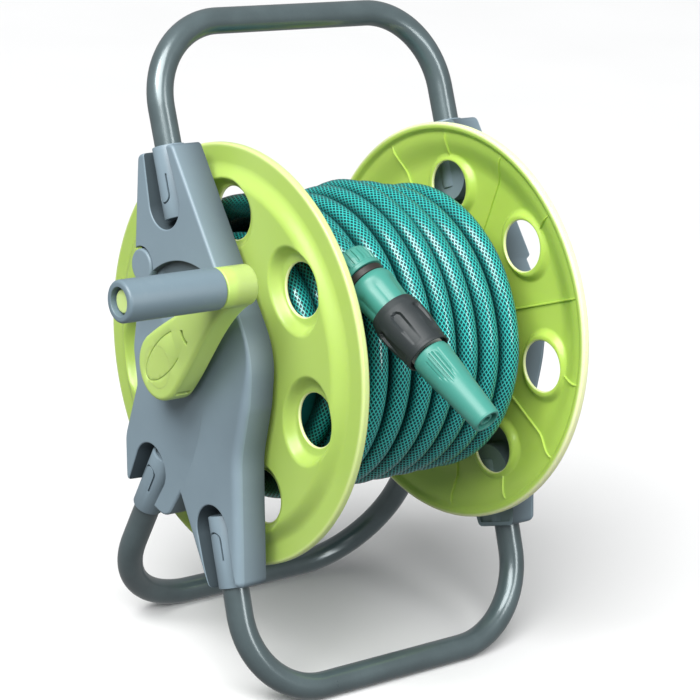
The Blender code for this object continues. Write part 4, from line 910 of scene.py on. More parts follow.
@dataclass
class SidePlate:
    """A moulded side plate: rounded face, three pockets with tube sockets, and the hub's recess.

    Each pair of numbers for a fade holds where it starts and how far it runs. The plate carries painted shade
    in its pockets, the ear's gap, the slits, along its side walls and under the recess's rear wall. The
    recess's painted shade lies in its band below: its lip, how far it reaches inwards, and the run over which
    it fades there.
    """

    side: Side
    with_ear: bool
    back_x: float = 0.1160
    face_x: float = 0.1405
    wall: float = 0.0030
    # Painted shade, from 0 to 1: on the outer side walls at their back edge, in the pockets, and under the
    # recess's rear wall.
    wall_painted_shade: float = 0.80
    pocket_painted_shade: float = 0.85
    recess_painted_shade: float = 0.90
    # Painted shade under the recess's rear wall: its lip, its reach inwards and its fade.
    painted_shade_band: Triple = (0.0008, 0.0034, 0.0030)
    painted_shade_above: Pair = (0.0150, 0.0300)
    painted_shade_behind: Pair = (-0.0350, 0.0500)
    edge: float = 0.0020
    soft_edge: float = 0.0060
    soft_below: Pair = (0.0350, 0.0550)
    soft_before: Pair = (-0.0120, 0.0300)
    corners: tuple[Triple, ...] = (
        (0.0725, 0.1310, 0.005), (0.0325, 0.1480, 0.005), (-0.0690, 0.0235, 0.066),
        (-0.0690, -0.0140, 0.050), (-0.0640, -0.0520, 0.060), (-0.0765, -0.1420, 0.005),
        (-0.0400, -0.1560, 0.004), (-0.0005, -0.0940, 0.003), (0.0172, -0.1240, 0.011),
        (0.0655, -0.1075, 0.004), (0.0700, -0.0760, 0.025), (0.0585, -0.0330, 0.012),
        (0.0668, -0.0080, 0.030),
    )
    pocket_radius: float = 0.0185
    pocket_floor_x: float = 0.1210
    pocket_lip: float = 0.0010
    pocket_draft: float = 0.0010
    pocket_fillet: float = 0.0045
    pocket_overrun: float = 0.0080
    recess_radius: float = 0.0705
    recess_lip: float = 0.0004
    recess_wall: float = 0.0009
    recess_lean: Pair = (-0.0300, 0.0850)
    recess_depth: float = 0.0046
    recess_back: float = 0.0034
    boss_radius: float = 0.0235
    bore_radius: float = 0.0183
    crease_y: float = -0.0230
    crease_top: float = -0.0200
    crease_end: float = -0.1000
    crease_bow: float = 3.835
    crease_width: float = 0.0014
    crease_fade: Pair = (-0.0260, 0.0500)
    rear_step: float = 0.0030
    rear_slope: float = 0.0450
    ear_centre: Pair = (0.0600, 0.0540)
    ear_radius: float = 0.0122
    ear_gap: float = 0.0019
    ear_wall: float = 0.0004
    ear_pit: float = 0.0052
    ear_rise: float = 0.0008
    sleeve_radius: float = 0.0116
    sleeve_length: float = 0.0510
    sleeve_edge: float = 0.0008
    sleeve_mouth_edge: float = 0.0006
    sleeve_floor: float = 0.0025
    tongue_half: float = 0.0050
    tongue_length: float = 0.0142
    tongue_start: float = 0.0170
    slit_width: float = 0.0012
    slit_depth: float = 0.0026
    bore_steps: int = 72
    recess_steps: int = 160
    sleeve_steps: int = 41

    def outline(self) -> Array:
        """The plate's outline in (y, z)."""
        return filleted(self.corners, step=7.0, guard=0.0010)

    def pocket(self, leg: Leg, wall: float) -> Array:
        """A pocket's outline: a circle's arc towards the hub, then straight sides out past the end."""
        turn = np.radians(np.linspace(-100.0, 100.0, 41))
        radius = self.pocket_radius + wall
        arc = leg.point(leg.pocket - radius * np.cos(turn), radius * np.sin(turn))
        end = leg.mouth + self.pocket_overrun
        half = leg.pocket_mouth + wall
        return np.concatenate((arc, leg.point([end, end], [half, -half]), arc[:1]))

    def crease(self, z: Array) -> Array:
        """Y of the crease between the front and rear legs: a parabola that bows forwards."""
        return self.crease_y + self.crease_bow * (z - self.crease_top) ** 2

    def pocket_drop(self, inwards: Array) -> Array:
        """Depth of a pocket: quarter-round lip, drafted wall, quarter-round fillet, flat floor."""
        floor = self.face_x - self.pocket_floor_x
        lip, draft, fillet = self.pocket_lip, self.pocket_draft, self.pocket_fillet
        into_lip = np.clip(inwards + lip, 0.0, lip)
        top = lip - np.sqrt(np.maximum(lip ** 2 - into_lip ** 2, 0.0))
        wall = np.clip(inwards / draft, 0.0, 1.0) * (floor - lip - fillet)
        into_fillet = np.clip(1.0 - (inwards - draft) / fillet, 0.0, 1.0)
        return top + wall + fillet * np.sqrt(np.maximum(1.0 - into_fillet ** 2, 0.0))

    def drop(self, spots: Array) -> Array:
        """How far the outside lies below the face plane at each (y, z)."""
        y, z = spots[:, 0], spots[:, 1]
        radius = np.hypot(y, z)
        lean = self.recess_depth * rise(z, self.recess_lean)
        recess = lean * ease((self.recess_radius + self.recess_lip - radius) / self.recess_wall)
        behind = y - self.crease(z)
        step = (self.rear_step * fall(z, self.crease_fade) * ease(behind / self.crease_width + 0.5)
                * (1.0 - ease(behind / self.rear_slope)))
        low = recess + step
        if self.with_ear:
            low = np.maximum(low, self.ear_pit * self.in_ear_gap(y, z))
        for leg in LEGS:
            low = np.maximum(low, self.pocket_drop(depth_inside(spots, self.pocket(leg, 0.0))))
        return low + edge_drop(depth_inside(spots, self.outline()), self.edge_radius(spots))

    def in_ear_gap(self, y: Array, z: Array) -> Array:
        """1 under the round pad and in the gap round it, 0 outside."""
        reach = np.hypot(y - self.ear_centre[0], z - self.ear_centre[1])
        return ease((self.ear_radius + self.ear_gap - reach) / self.ear_wall + 0.5)

    def painted_shade(self, spots: Array) -> Array:
        """Painted shade on the outside, from 0 to 1: in the pockets, the ear's gap and under the recess's
        rear wall.
        """
        y, z = spots[:, 0], spots[:, 1]
        radius = np.hypot(y, z)
        lip, reach, run = self.painted_shade_band
        wall = (ease((self.recess_radius + lip - radius) / lip)
                * ease((radius - self.recess_radius + reach) / run))
        shade = self.recess_painted_shade * wall * rise(z, self.painted_shade_above) * rise(y, self.painted_shade_behind)
        if self.with_ear:
            shade = np.maximum(shade, self.in_ear_gap(y, z))
        for leg in LEGS:
            inside = depth_inside(spots, self.pocket(leg, 0.0)) > -0.00002
            shade = np.maximum(shade, self.pocket_painted_shade * inside)
        return shade

    def edge_radius(self, spots: Array) -> Array:
        """Radius of the face's edge: it grows from the plain edge to the soft one down the front."""
        low, front = fall(spots[:, 1], self.soft_below), fall(spots[:, 0], self.soft_before)
        return self.edge + (self.soft_edge - self.edge) * low * front

    def outer_rows(self) -> list[Array]:
        """Rows of points where the outside changes slope."""
        outline = self.outline()
        distances = np.concatenate((edge_rows(self.edge, 5), edge_rows(self.soft_edge, 7)))
        rows = bordered(outline, np.unique(distances.round(5)))
        lip, draft, fillet = self.pocket_lip, self.pocket_draft, self.pocket_fillet
        share = np.linspace(0.0, 1.0, 6)
        walls = np.concatenate(([-1.3 * lip], -lip * (1.0 - np.sin(share * math.pi / 2)),
                                [draft], draft + fillet * (1.0 - np.cos(share[1:] * math.pi / 2)),
                                [draft + 1.15 * fillet]))
        rows += [self.pocket(leg, -distance) for leg in LEGS for distance in walls]
        rows += rings(self.recess_radius, (-0.0012, -0.0005, -0.0002, 0.0001, 0.0004, 0.0010),
                      count=self.recess_steps)
        z = np.linspace(self.crease_top, self.crease_end, 30)
        rows += [np.stack((self.crease(z) + offset * self.crease_width, z), 1)
                 for offset in (-1.0, -0.5, -0.25, 0.0, 0.25, 0.5, 1.0)]
        if self.with_ear:
            rows += rings(self.ear_radius + self.ear_gap, (-0.0006, -0.0002, 0.0, 0.0002, 0.0006),
                          self.ear_centre, 64)
        return rows + rings(0.0, (self.bore_radius, self.boss_radius), count=self.bore_steps)

    def holds(self, spots: Array, outline: Array) -> Array:
        """Whether each spot lies inside an outline and outside the bore."""
        return (depth_inside(spots, outline) > 0.0) & (np.linalg.norm(spots, axis=1) > self.bore_radius)

    def shell(self) -> list[Patch]:
        """The outside relief, the inside relief, the side walls and the rim that joins them."""
        side = self.side.value
        outline = self.outline()
        inner_outline = inset(outline, self.wall)
        flat, outer_triangles = tiled(self.outer_rows(), lambda spots: self.holds(spots, outline))
        outer = np.column_stack((side * (self.face_x - self.drop(flat)), flat))
        rows = [inner_outline, circle(self.bore_radius, count=self.bore_steps)]
        rows += rings(self.boss_radius, (0.0, STEEP), count=self.bore_steps)
        rows += [self.pocket(leg, self.wall + offset) for leg in LEGS for offset in (0.0, 0.0004)]
        flat, inner_triangles = tiled(rows, lambda spots: self.holds(spots, inner_outline))
        inner = np.column_stack((side * self.inside_x(flat), flat))
        # Painted shade on the outer side walls: light at the face's edge, strong at the back edge by the
        # flange.
        foot_painted_shade = np.repeat((0.3 * self.wall_painted_shade, self.wall_painted_shade), len(outer))
        skirts = [shaded(skirt(outer, outer_triangles, side * self.back_x), foot_painted_shade),
                  skirt(inner, inner_triangles, side * self.back_x)]
        foot_rows = [points[edge][:, 1:] for points, triangles in ((outer, outer_triangles),
                                                                   (inner, inner_triangles))
                     for edge in border(triangles)]
        flat, rim_triangles = tiled(foot_rows, lambda spots: (
            (depth_inside(spots, outline) > 0.0) & (depth_inside(spots, inner_outline) < 0.0)))
        rim = np.column_stack((np.full(len(flat), side * self.back_x), flat))
        # The outer face carries its painted shade.
        return [shaded(Patch(outer, outer_triangles), self.painted_shade(outer[:, 1:])),
                Patch(inner, inner_triangles), *skirts, Patch(rim, rim_triangles)]

    def inside_x(self, spots: Array) -> Array:
        """X of the inside wall, which steps back behind the pockets and at the bearing's boss."""
        base = self.face_x - self.recess_back - self.wall
        floor = self.pocket_floor_x - self.wall
        x = np.full(len(spots), base)
        for leg in LEGS:
            behind = ease((depth_inside(spots, self.pocket(leg, self.wall)) + 0.0004) / 0.0004)
            x = np.minimum(x, base - (base - floor) * behind)
        boss = ease((self.boss_radius + STEEP - np.linalg.norm(spots, axis=1)) / STEEP)
        return x - (x - self.back_x) * boss

    def slit(self, grow: float) -> Array:
        """Closed outline of the U slit on the unrolled sleeve, as (across, along) from its floor."""
        outer, inner = self.tongue_half + self.slit_width + grow, self.tongue_half - grow
        turn = np.radians(np.linspace(-90.0, 90.0, 17))
        start, far = self.tongue_start, self.tongue_start + self.tongue_length + grow
        outside = np.stack((outer * np.sin(turn), start - outer * np.cos(turn)), 1)
        inside = np.stack((inner * np.sin(turn), start - inner * np.cos(turn)), 1)[::-1]
        return np.concatenate(([(-outer, far)], outside, [(outer, far), (inner, far)], inside,
                               [(-inner, far), (-outer, far)]))

    def sleeve(self, leg: Leg) -> list[Patch]:
        """A tube socket: its wall is unrolled, given the slit of its snap tongue and rolled up again."""
        radius, length = self.sleeve_radius, self.sleeve_length
        half_turn = math.pi * radius
        start, end = self.sleeve_edge, length - self.sleeve_mouth_edge
        columns = [np.array(((across, start), (across, end)))
                   for across in np.linspace(-half_turn, half_turn, self.sleeve_steps)]
        rows = columns + [self.slit(grow) for grow in (0.0003, 0.0001, 0.0, -0.0001, -0.0003)]
        rows += [np.array(((-half_turn, level), (half_turn, level))) for level in (start, end)]
        flat, triangles = tiled(rows, lambda spots: np.ones(len(spots), bool))
        groove = self.slit_depth * ease((depth_inside(flat, self.slit(0.0)) + 0.0001) / STEEP)
        rolled = self.rolled(leg, flat[:, 0] / radius, flat[:, 1], radius - groove)
        bore = TUBE_RADIUS + GAP
        turn = np.linspace(-math.pi, math.pi, self.sleeve_steps)[None, :]
        head = [(0.0, 0.0010), (0.0085, 0.0010), (0.0090, 0.0006), (0.0094, 0.0),
                (radius - self.sleeve_edge, 0.0), (radius - 0.0002, 0.0003), (radius, start)]
        tail = [(radius, end), (radius - 0.0002, length - 0.0002), (radius - self.sleeve_mouth_edge, length),
                (bore, length), (bore, self.sleeve_floor), (0.0, self.sleeve_floor)]
        ends = []
        for profile in (head, tail):
            profile = np.array(profile)
            ends.append(lattice(self.rolled(leg, np.repeat(turn, len(profile), 0), profile[:, 1:],
                                            profile[:, :1])))
        # The slit carries painted shade in proportion to its depth.
        return [shaded(Patch(rolled, triangles), groove / self.slit_depth), *ends]

    def rolled(self, leg: Leg, turn: Array, distance: Array, radius: Array) -> Array:
        """Points on round walls about a socket's axis, from angle, distance and radius."""
        out = radius * np.cos(turn)
        flat = leg.point(leg.socket + np.broadcast_to(distance, np.shape(out)), radius * np.sin(turn))
        return np.concatenate(((self.side.value * (LEG_X + out))[..., None], flat), -1)

    def ear(self) -> Patch:
        """The round pad at the plate's rear edge, with a rounded rim."""
        top = self.face_x + self.ear_rise
        profile = filleted([(0.0, top, 0), (self.ear_radius, top, 0.0016),
                            (self.ear_radius, self.back_x + GAP, 0.0004), (0.0, self.back_x + GAP, 0)],
                           closed=False)
        return turned(profile, 64).mirrored(self.side, (0.0, *self.ear_centre))

    def build(self) -> None:
        """Make the plate."""
        patches = self.shell()
        for leg in LEGS:
            patches += self.sleeve(leg)
        if self.with_ear:
            patches.append(self.ear())
        patches = [patch if patch.corner_uv is not None else shaded(patch) for patch in patches]
        set_piece(Role(self.side.named("plate"), "frame", Finish.SIDE, crisp=32.0), patches)


@dataclass
class Bushes:
    """The two plain bearings between the reel's journals and the plates."""

    bore: float = 0.0153
    wall: float = 0.0027
    collar_radius: float = 0.0220
    start: float = 0.1112
    plate_x: float = 0.1157
    ends: Pair = (0.1408, 0.1392)

    def build(self) -> None:
        """Make both bushes."""
        outer = self.bore + self.wall
        for side, end in zip(Side, self.ends):
            profile = filleted([(self.bore, self.start, 0.0003), (self.collar_radius, self.start, 0.0005),
                                (self.collar_radius, self.plate_x, 0.0005), (outer, self.plate_x, 0.0),
                                (outer, end, 0.0005), (self.bore, end, 0.0005)], guard=0.0001)
            set_piece(Role(side.named("bush"), "frame", Finish.BEARING), [turned(profile, 72).mirrored(side)])


# Reel


@dataclass
class Flange:
    """A reel flange: raised web with dished holes, flat band, rolled rim, half drum and journal."""

    side: Side
    web_x: float = 0.1105
    band_x: float = 0.1033
    hub_pad: float = 0.0004
    hub_pad_fade: float = 0.0015
    lip_x: float = 0.0972
    lip_fade: Pair = (0.1420, 0.0042)
    lip_rows: Pair = (0.1418, 0.1464)
    thickness: float = 0.0027
    web_radius: float = 0.1235
    band_radius: float = 0.1365
    rim_round: float = 0.0018
    hole_round: float = 0.00135
    dish_floor_x: float = 0.1025
    dish_radial: float = 0.0262
    dish_tangent: float = 0.0325
    dish_floor_share: float = 0.76
    drum_radius: float = 0.0500
    drum_wall: float = 0.0025
    drum_weld: float = 0.0010
    post_weld: float = 0.0006
    journal_radius: float = 0.0150
    journal_start: float = 0.1002
    journal_end: float = 0.1437
    drive_radius: float = 0.0092
    drive_tip: float = 0.0087
    water_bore: float = 0.0084
    water_tube_radius: float = 0.0115
    water_cone: Pair = (0.1065, 0.1075)
    rib_half: float = 0.0004
    rib_height: float = 0.0014
    rib_end: float = 0.1440
    rib_overlap: float = 0.0050
    rib_fades: Pair = (0.0040, 0.0060)
    short_start: float = 0.1235
    rim_steps: int = 240
    hole_steps: int = 64
    post_circle: float = 0.0330
    post_radius: float = 0.0058
    post_bore: float = 0.0042
    post_floor: float = 0.0042
    post_depth: float = 0.0160
    screw_bore: float = 0.0021
    post_angles: tuple[float, ...] = (30.0, 150.0, 270.0)

    def hole_angles(self) -> Array:
        """Angles of the holes in degrees."""
        return FIRST_HOLE[self.side] + 360.0 * np.arange(HOLES) / HOLES

    def from_holes(self, spots: Array) -> tuple[Array, Array]:
        """Distance from the nearest hole's edge, and the nearest dish's share: 1 at its outer edge."""
        edge, share = np.full(len(spots), 1.0), np.full(len(spots), 9.0)
        for angle in self.hole_angles():
            centre = polar(HOLE_CIRCLE, angle)
            out = centre / HOLE_CIRCLE
            away = spots - centre
            radial, tangent = away @ out, away @ square_to(out)
            edge = np.minimum(edge, np.hypot(radial, tangent) - HOLE_RADIUS)
            share = np.minimum(share, np.hypot(radial / self.dish_radial, tangent / self.dish_tangent))
        return edge, share

    def middle_x(self, spots: Array) -> Array:
        """Outer face without its rounded edges: web, step to the band, and dishes to their floor."""
        radius = np.linalg.norm(spots, axis=1)
        _, share = self.from_holes(spots)
        step = ease((radius - self.web_radius) / (self.band_radius - self.web_radius))
        x = self.web_x - (self.web_x - self.band_x) * step
        pad = self.hub_pad * ease((self.drum_radius - radius) / self.hub_pad_fade + 0.5)
        dish = ease((1.0 - share) / (1.0 - self.dish_floor_share))
        return x + pad - (x - self.dish_floor_x) * dish

    def outer_x(self, spots: Array) -> Array:
        """Outer face: rounded towards the rim and into each hole."""
        edge, _ = self.from_holes(spots)
        radius = np.linalg.norm(spots, axis=1)
        return (self.middle_x(spots) - edge_drop(edge, self.hole_round)
                - edge_drop(RIM_RADIUS - radius, self.rim_round))

    def inner_x(self, spots: Array) -> Array:
        """Inner face: one wall behind the outer face, with the rim's lip and the radial ribs."""
        edge, _ = self.from_holes(spots)
        radius = np.linalg.norm(spots, axis=1)
        plain = self.middle_x(spots) - self.thickness
        lip = (self.band_x - self.thickness - self.lip_x) * rise(radius, self.lip_fade)
        ribs = np.zeros(len(spots))
        for angle, start, end in self.ribs():
            out = polar(1.0, angle)
            run, off = spots @ out, np.abs(spots @ square_to(out))
            inside = fall(off, (self.rib_half + STEEP, STEEP)) * rise(run, (start, self.rib_fades[0]))
            ribs = np.maximum(ribs, inside * fall(run, (end, self.rib_fades[1])) * self.rib_height)
        return (plain - lip - ribs + edge_drop(edge, self.hole_round)
                + edge_drop(RIM_RADIUS - radius, self.rim_round))

    def ribs(self) -> list[Triple]:
        """(angle, start, end) of each rib: long ones between the holes, short ones behind them."""
        start = self.drum_radius - self.rib_overlap
        long_ribs = [(angle + 180.0 / HOLES, start, self.rib_end) for angle in self.hole_angles()]
        return long_ribs + [(angle, self.short_start, self.rib_end) for angle in self.hole_angles()]

    def rows(self, inner: bool) -> list[Array]:
        """Rows of points where a face changes slope."""
        rows = rings(RIM_RADIUS, -edge_rows(self.rim_round, 5), count=self.rim_steps)
        rows += rings(0.0, (*np.linspace(self.web_radius, self.band_radius, 9), self.band_radius + 0.001,
                            self.web_radius - 0.001), count=self.rim_steps)
        rows += [circle(self.journal_radius)]
        rows += rings(self.drum_radius, (-0.0012, -0.0004, 0.0004, 0.0012))
        shares = np.linspace(self.dish_floor_share, 1.0, 9)
        turn = np.linspace(0.0, 2 * math.pi, self.hole_steps + 1)
        for angle in self.hole_angles():
            centre = polar(HOLE_CIRCLE, angle)
            out = centre / HOLE_CIRCLE
            across = square_to(out)
            rows += rings(HOLE_RADIUS, edge_rows(self.hole_round, 5), centre, self.hole_steps)
            rows += [centre + share * (self.dish_radial * np.cos(turn)[:, None] * out
                                       + self.dish_tangent * np.sin(turn)[:, None] * across)
                     for share in (*shares, 1.03)]
        if inner:
            rows += rings(0.0, np.linspace(*self.lip_rows, 7), count=self.rim_steps)
            for angle, start, end in self.ribs():
                out = polar(1.0, angle)
                run = np.linspace(start, end, 12)[:, None]
                rows += [run * out + off * square_to(out) for off in
                         (-self.rib_half - 0.0004, -self.rib_half, self.rib_half, self.rib_half + 0.0004)]
        elif self.side is Side.FAR:
            rows += [circle(self.post_bore, polar(self.post_circle, angle), 32) for angle in self.post_angles]
        return rows

    def kept(self, spots: Array, inner: bool) -> Array:
        """Whether each spot is on material: outside every hole and between journal and rim."""
        edge, _ = self.from_holes(spots)
        radius = np.linalg.norm(spots, axis=1)
        kept = (edge > 0.0) & (radius > self.journal_radius) & (radius < RIM_RADIUS)
        if not inner and self.side is Side.FAR:
            for angle in self.post_angles:
                kept &= np.linalg.norm(spots - polar(self.post_circle, angle), axis=1) > self.post_bore
        return kept

    def disc(self) -> list[Patch]:
        """Both faces of the flange and the walls at its rim and its journal."""
        side = self.side.value
        faces = []
        for inner, shape in ((False, self.outer_x), (True, self.inner_x)):
            flat, triangles = tiled(self.rows(inner), lambda spots: self.kept(spots, inner))
            faces.append(Patch(np.column_stack((side * shape(flat), flat)), triangles))
        for radius, count in ((RIM_RADIUS, self.rim_steps), (self.journal_radius, 96)):
            ring = circle(radius, count=count)
            walls = [np.column_stack((side * shape(ring), ring)) for shape in (self.outer_x, self.inner_x)]
            faces.append(lattice(np.array(walls)))
        return faces

    def drum(self) -> list[Patch]:
        """The half drum and its screw posts."""
        inside = self.web_x - self.thickness
        outer, inner, weld = self.drum_radius, self.drum_radius - self.drum_wall, inside + self.drum_weld
        wall = filleted([(outer, GAP / 2, 0.0003), (outer, weld, 0), (inner, weld, 0),
                         (inner, GAP / 2, 0.0003)], guard=0.0001)
        parts = [turned(wall).mirrored(self.side)]
        for angle in self.post_angles:
            weld = inside + self.post_weld
            outside = [(self.post_radius, GAP / 2), (self.post_radius, weld)]
            if self.side is Side.CRANK:
                post = [(0.0, self.post_depth), (self.screw_bore, self.post_depth),
                        (self.screw_bore, GAP / 2), *outside, (0.0, weld)]
            else:
                top = self.web_x + self.hub_pad
                post = [(self.post_bore, top), (self.post_bore, self.post_floor),
                        (self.screw_bore, self.post_floor - 0.0001), (self.screw_bore, GAP / 2),
                        *outside, (self.post_bore, top)]
            parts.append(turned(post, 32).mirrored(self.side, (0.0, *polar(self.post_circle, angle))))
        return parts

    def journal(self) -> list[Patch]:
        """The journal: with the square drive on the crank side, or the bore for water on the far side."""
        outer, end = self.journal_radius, self.journal_end
        if self.side is Side.CRANK:
            profile = filleted([(0.0, self.journal_start, 0), (outer, self.journal_start, 0),
                                (outer, end, 0.0008), (0.0, end, 0)], closed=False)
            drive = [(0.0, end - 0.001), (self.drive_radius, end - 0.001), (self.drive_radius, end + 0.0126),
                     (self.drive_tip, end + 0.0130), (0.0, end + 0.0130)]
            return [turned(profile, 72).mirrored(self.side),
                    turned(drive, 4, math.pi / 4).mirrored(self.side)]
        bore, start, (cone_start, cone_end) = self.water_bore, WATER_TUBE_END, self.water_cone
        tube = self.water_tube_radius
        profile = filleted([(bore, end, 0.0004), (outer, end, 0.0008), (outer, cone_end, 0.0),
                            (tube, cone_start, 0.0), (tube, start, 0.0005), (bore, start, 0.0004)],
                           guard=0.0001)
        return [turned(profile, 72).mirrored(self.side)]

    def build(self) -> None:
        """Make the flange."""
        finish = Finish.LIME if self.side is Side.CRANK else Finish.LIME_FAR
        set_piece(Role(self.side.named("flange"), "reel", finish, crisp=50.0),
                  self.disc() + self.drum() + self.journal())


@dataclass
class Nozzle:
    """Where the nozzle's axis lies: from the nut's hose end to the tip."""

    standoff: float = 0.0240
    x: float = -0.0723
    angle: float = 46.125
    reach: Triple = (0.0196, -0.1307, -0.0770)

    def start(self) -> Array:
        """The nut's hose end."""
        return np.array((self.x, *polar(LAYER_RADIUS + self.standoff, self.angle)))

    def way(self) -> Array:
        """Unit direction from the nut to the tip."""
        reach = np.array(self.reach)
        return reach / np.linalg.norm(reach)

    def length(self) -> float:
        """Distance from the nut's hose end to the tip."""
        return float(np.linalg.norm(self.reach))

    def turn(self) -> Array:
        """3x3 matrix that lays a shape turned about X along the nozzle's axis."""
        return np.array(Vector(self.way()).to_track_quat("X", "Z").to_matrix())


@dataclass
class HoseWinding:
    """The hose: the outer layer with its free end, and the inner layers below it."""

    nozzle: Nozzle = field(default_factory=Nozzle)
    loop_x: tuple[float, ...] = (0.0700, 0.0480, 0.0295, 0.0118, -0.0060, -0.0260, -0.0476, -0.0660,
                                 -0.0875)
    lead_turns: float = 0.45
    lead_x: float = 0.0800
    lead_drop: float = 0.0045
    sway_least: float = 0.0022
    sway_extra: float = 0.0045
    sway_x: float = 0.045
    sway_width: float = 0.038
    bulge_height: float = 0.0080
    bulge_angle: float = 112.0
    bulge_spread: float = 45.0
    bulge_x: float = 0.012
    bulge_width: float = 0.026
    loop_start: float = 120.0
    rise_angle: float = 178.0
    turn_points: int = 96
    sides: int = 18
    drum_radius: float = 0.0503
    inner_layer: float = 0.0772
    inner_pitch: float = 0.0178
    inner_reach: float = 0.0905
    sleeve_sink: float = 0.0040
    sleeve_half: float = 0.0990
    # The sleeve's U: 0.5 paints it all in the hose's painted shade.
    sleeve_painted_shade: float = 0.5

    def layer(self, angle: Array, x: Array) -> Array:
        """Centre-line radius of the outer layer: a bell-shaped rise where it crosses the layer below."""
        away = (angle - self.bulge_angle + 180.0) % 360.0 - 180.0
        hump = np.exp(-(away / self.bulge_spread) ** 2 - ((x - self.bulge_x) / self.bulge_width) ** 2)
        return LAYER_RADIUS + self.bulge_height * hump

    def route(self) -> Array:
        """Centre line of the outer layer from the far flange to the crank side, then into the nut.

        The angle falls steadily. X follows the loops' places with a sway in each turn, and near the end
        X and the radius follow cubics that meet the nozzle's axis in place and direction.
        """
        way, start = self.nozzle.way(), self.nozzle.start()
        meet = start - way * GAP
        meet_radius = math.hypot(meet[1], meet[2])
        turn = math.atan2(meet[2], -meet[1])
        meet_angle = math.degrees(turn)
        outwards = float(way @ np.array((0.0, -math.cos(turn), math.sin(turn))))
        around = -float(way @ np.array((0.0, math.sin(turn), math.cos(turn))))
        degree = math.radians(1.0) * meet_radius / around
        turns = self.lead_turns + len(self.loop_x) - 1
        whole = self.loop_start + 360.0 * np.linspace(turns, 0.0, round(turns * self.turn_points))
        tail = np.linspace(self.loop_start, meet_angle, self.turn_points // 3)[1:]
        angle = np.concatenate((whole, tail))
        count = len(self.loop_x) - 1 - (angle - self.loop_start) / 360.0
        x = np.interp(count, (-self.lead_turns, *range(len(self.loop_x))), (self.lead_x, *self.loop_x))
        sway = self.sway_least + self.sway_extra * np.exp(-((x - self.sway_x) / self.sway_width) ** 2)
        x = x + sway * (1.0 - np.cos(np.radians(angle - self.loop_start)))
        span = self.loop_start - meet_angle
        slope = (self.loop_x[-1] - self.loop_x[-2]) / 720.0
        x = np.where(angle < self.loop_start,
                     hermite((self.loop_start - angle) / span, self.loop_x[-1], meet[0], slope * span,
                             way[0] * degree * span), x)
        climb = np.maximum(-count / self.lead_turns, 0.0)
        radius = self.layer(angle, x) - self.lead_drop * climb ** 2 * (3.0 - 2.0 * climb)
        span = self.rise_angle - meet_angle
        lift = hermite((self.rise_angle - angle) / span, LAYER_RADIUS, meet_radius, 0.0,
                       outwards * degree * span)
        radius = np.where(angle < self.rise_angle, lift, radius)
        path = np.column_stack((x, polar(radius, angle)))
        return np.concatenate((path, [start + way * INSERT / 2, start + way * INSERT]))

    def tube(self, path: Array) -> Patch:
        """Sweep the hose along a path, with outwards pointing away from the reel's axis."""
        outwards = path * np.array((0.0, 1.0, 1.0))
        return swept(path, outwards, np.full(len(path), HOSE_RADIUS), self.sides)

    def inner(self) -> list[Patch]:
        """The layer below as one helix, x = pitch times turns, over a plain sleeve on the drum painted dark
        as shade.
        """
        turns = 2 * self.inner_reach / self.inner_pitch
        share = np.linspace(0.0, 1.0, round(turns * 60))
        x = self.inner_reach * (2.0 * share - 1.0)
        path = np.column_stack((x, polar(self.inner_layer, 360.0 * turns * share)))
        inner, outer, half = self.drum_radius, self.inner_layer - self.sleeve_sink, self.sleeve_half
        sleeve = [(inner, -half), (outer, -half), (outer, half), (inner, half), (inner, -half)]
        return [self.tube(path), shaded(turned(sleeve), self.sleeve_painted_shade)]

    def build(self) -> None:
        """Make the winding and the inner layers."""
        set_piece(Role("hose_winding", "reel", Finish.HOSE, crisp=60.0), [self.tube(self.route())])
        set_piece(Role("hose_inner_layers", "reel", Finish.HOSE, crisp=60.0, nodes=("hose_core",)),
                  self.inner())


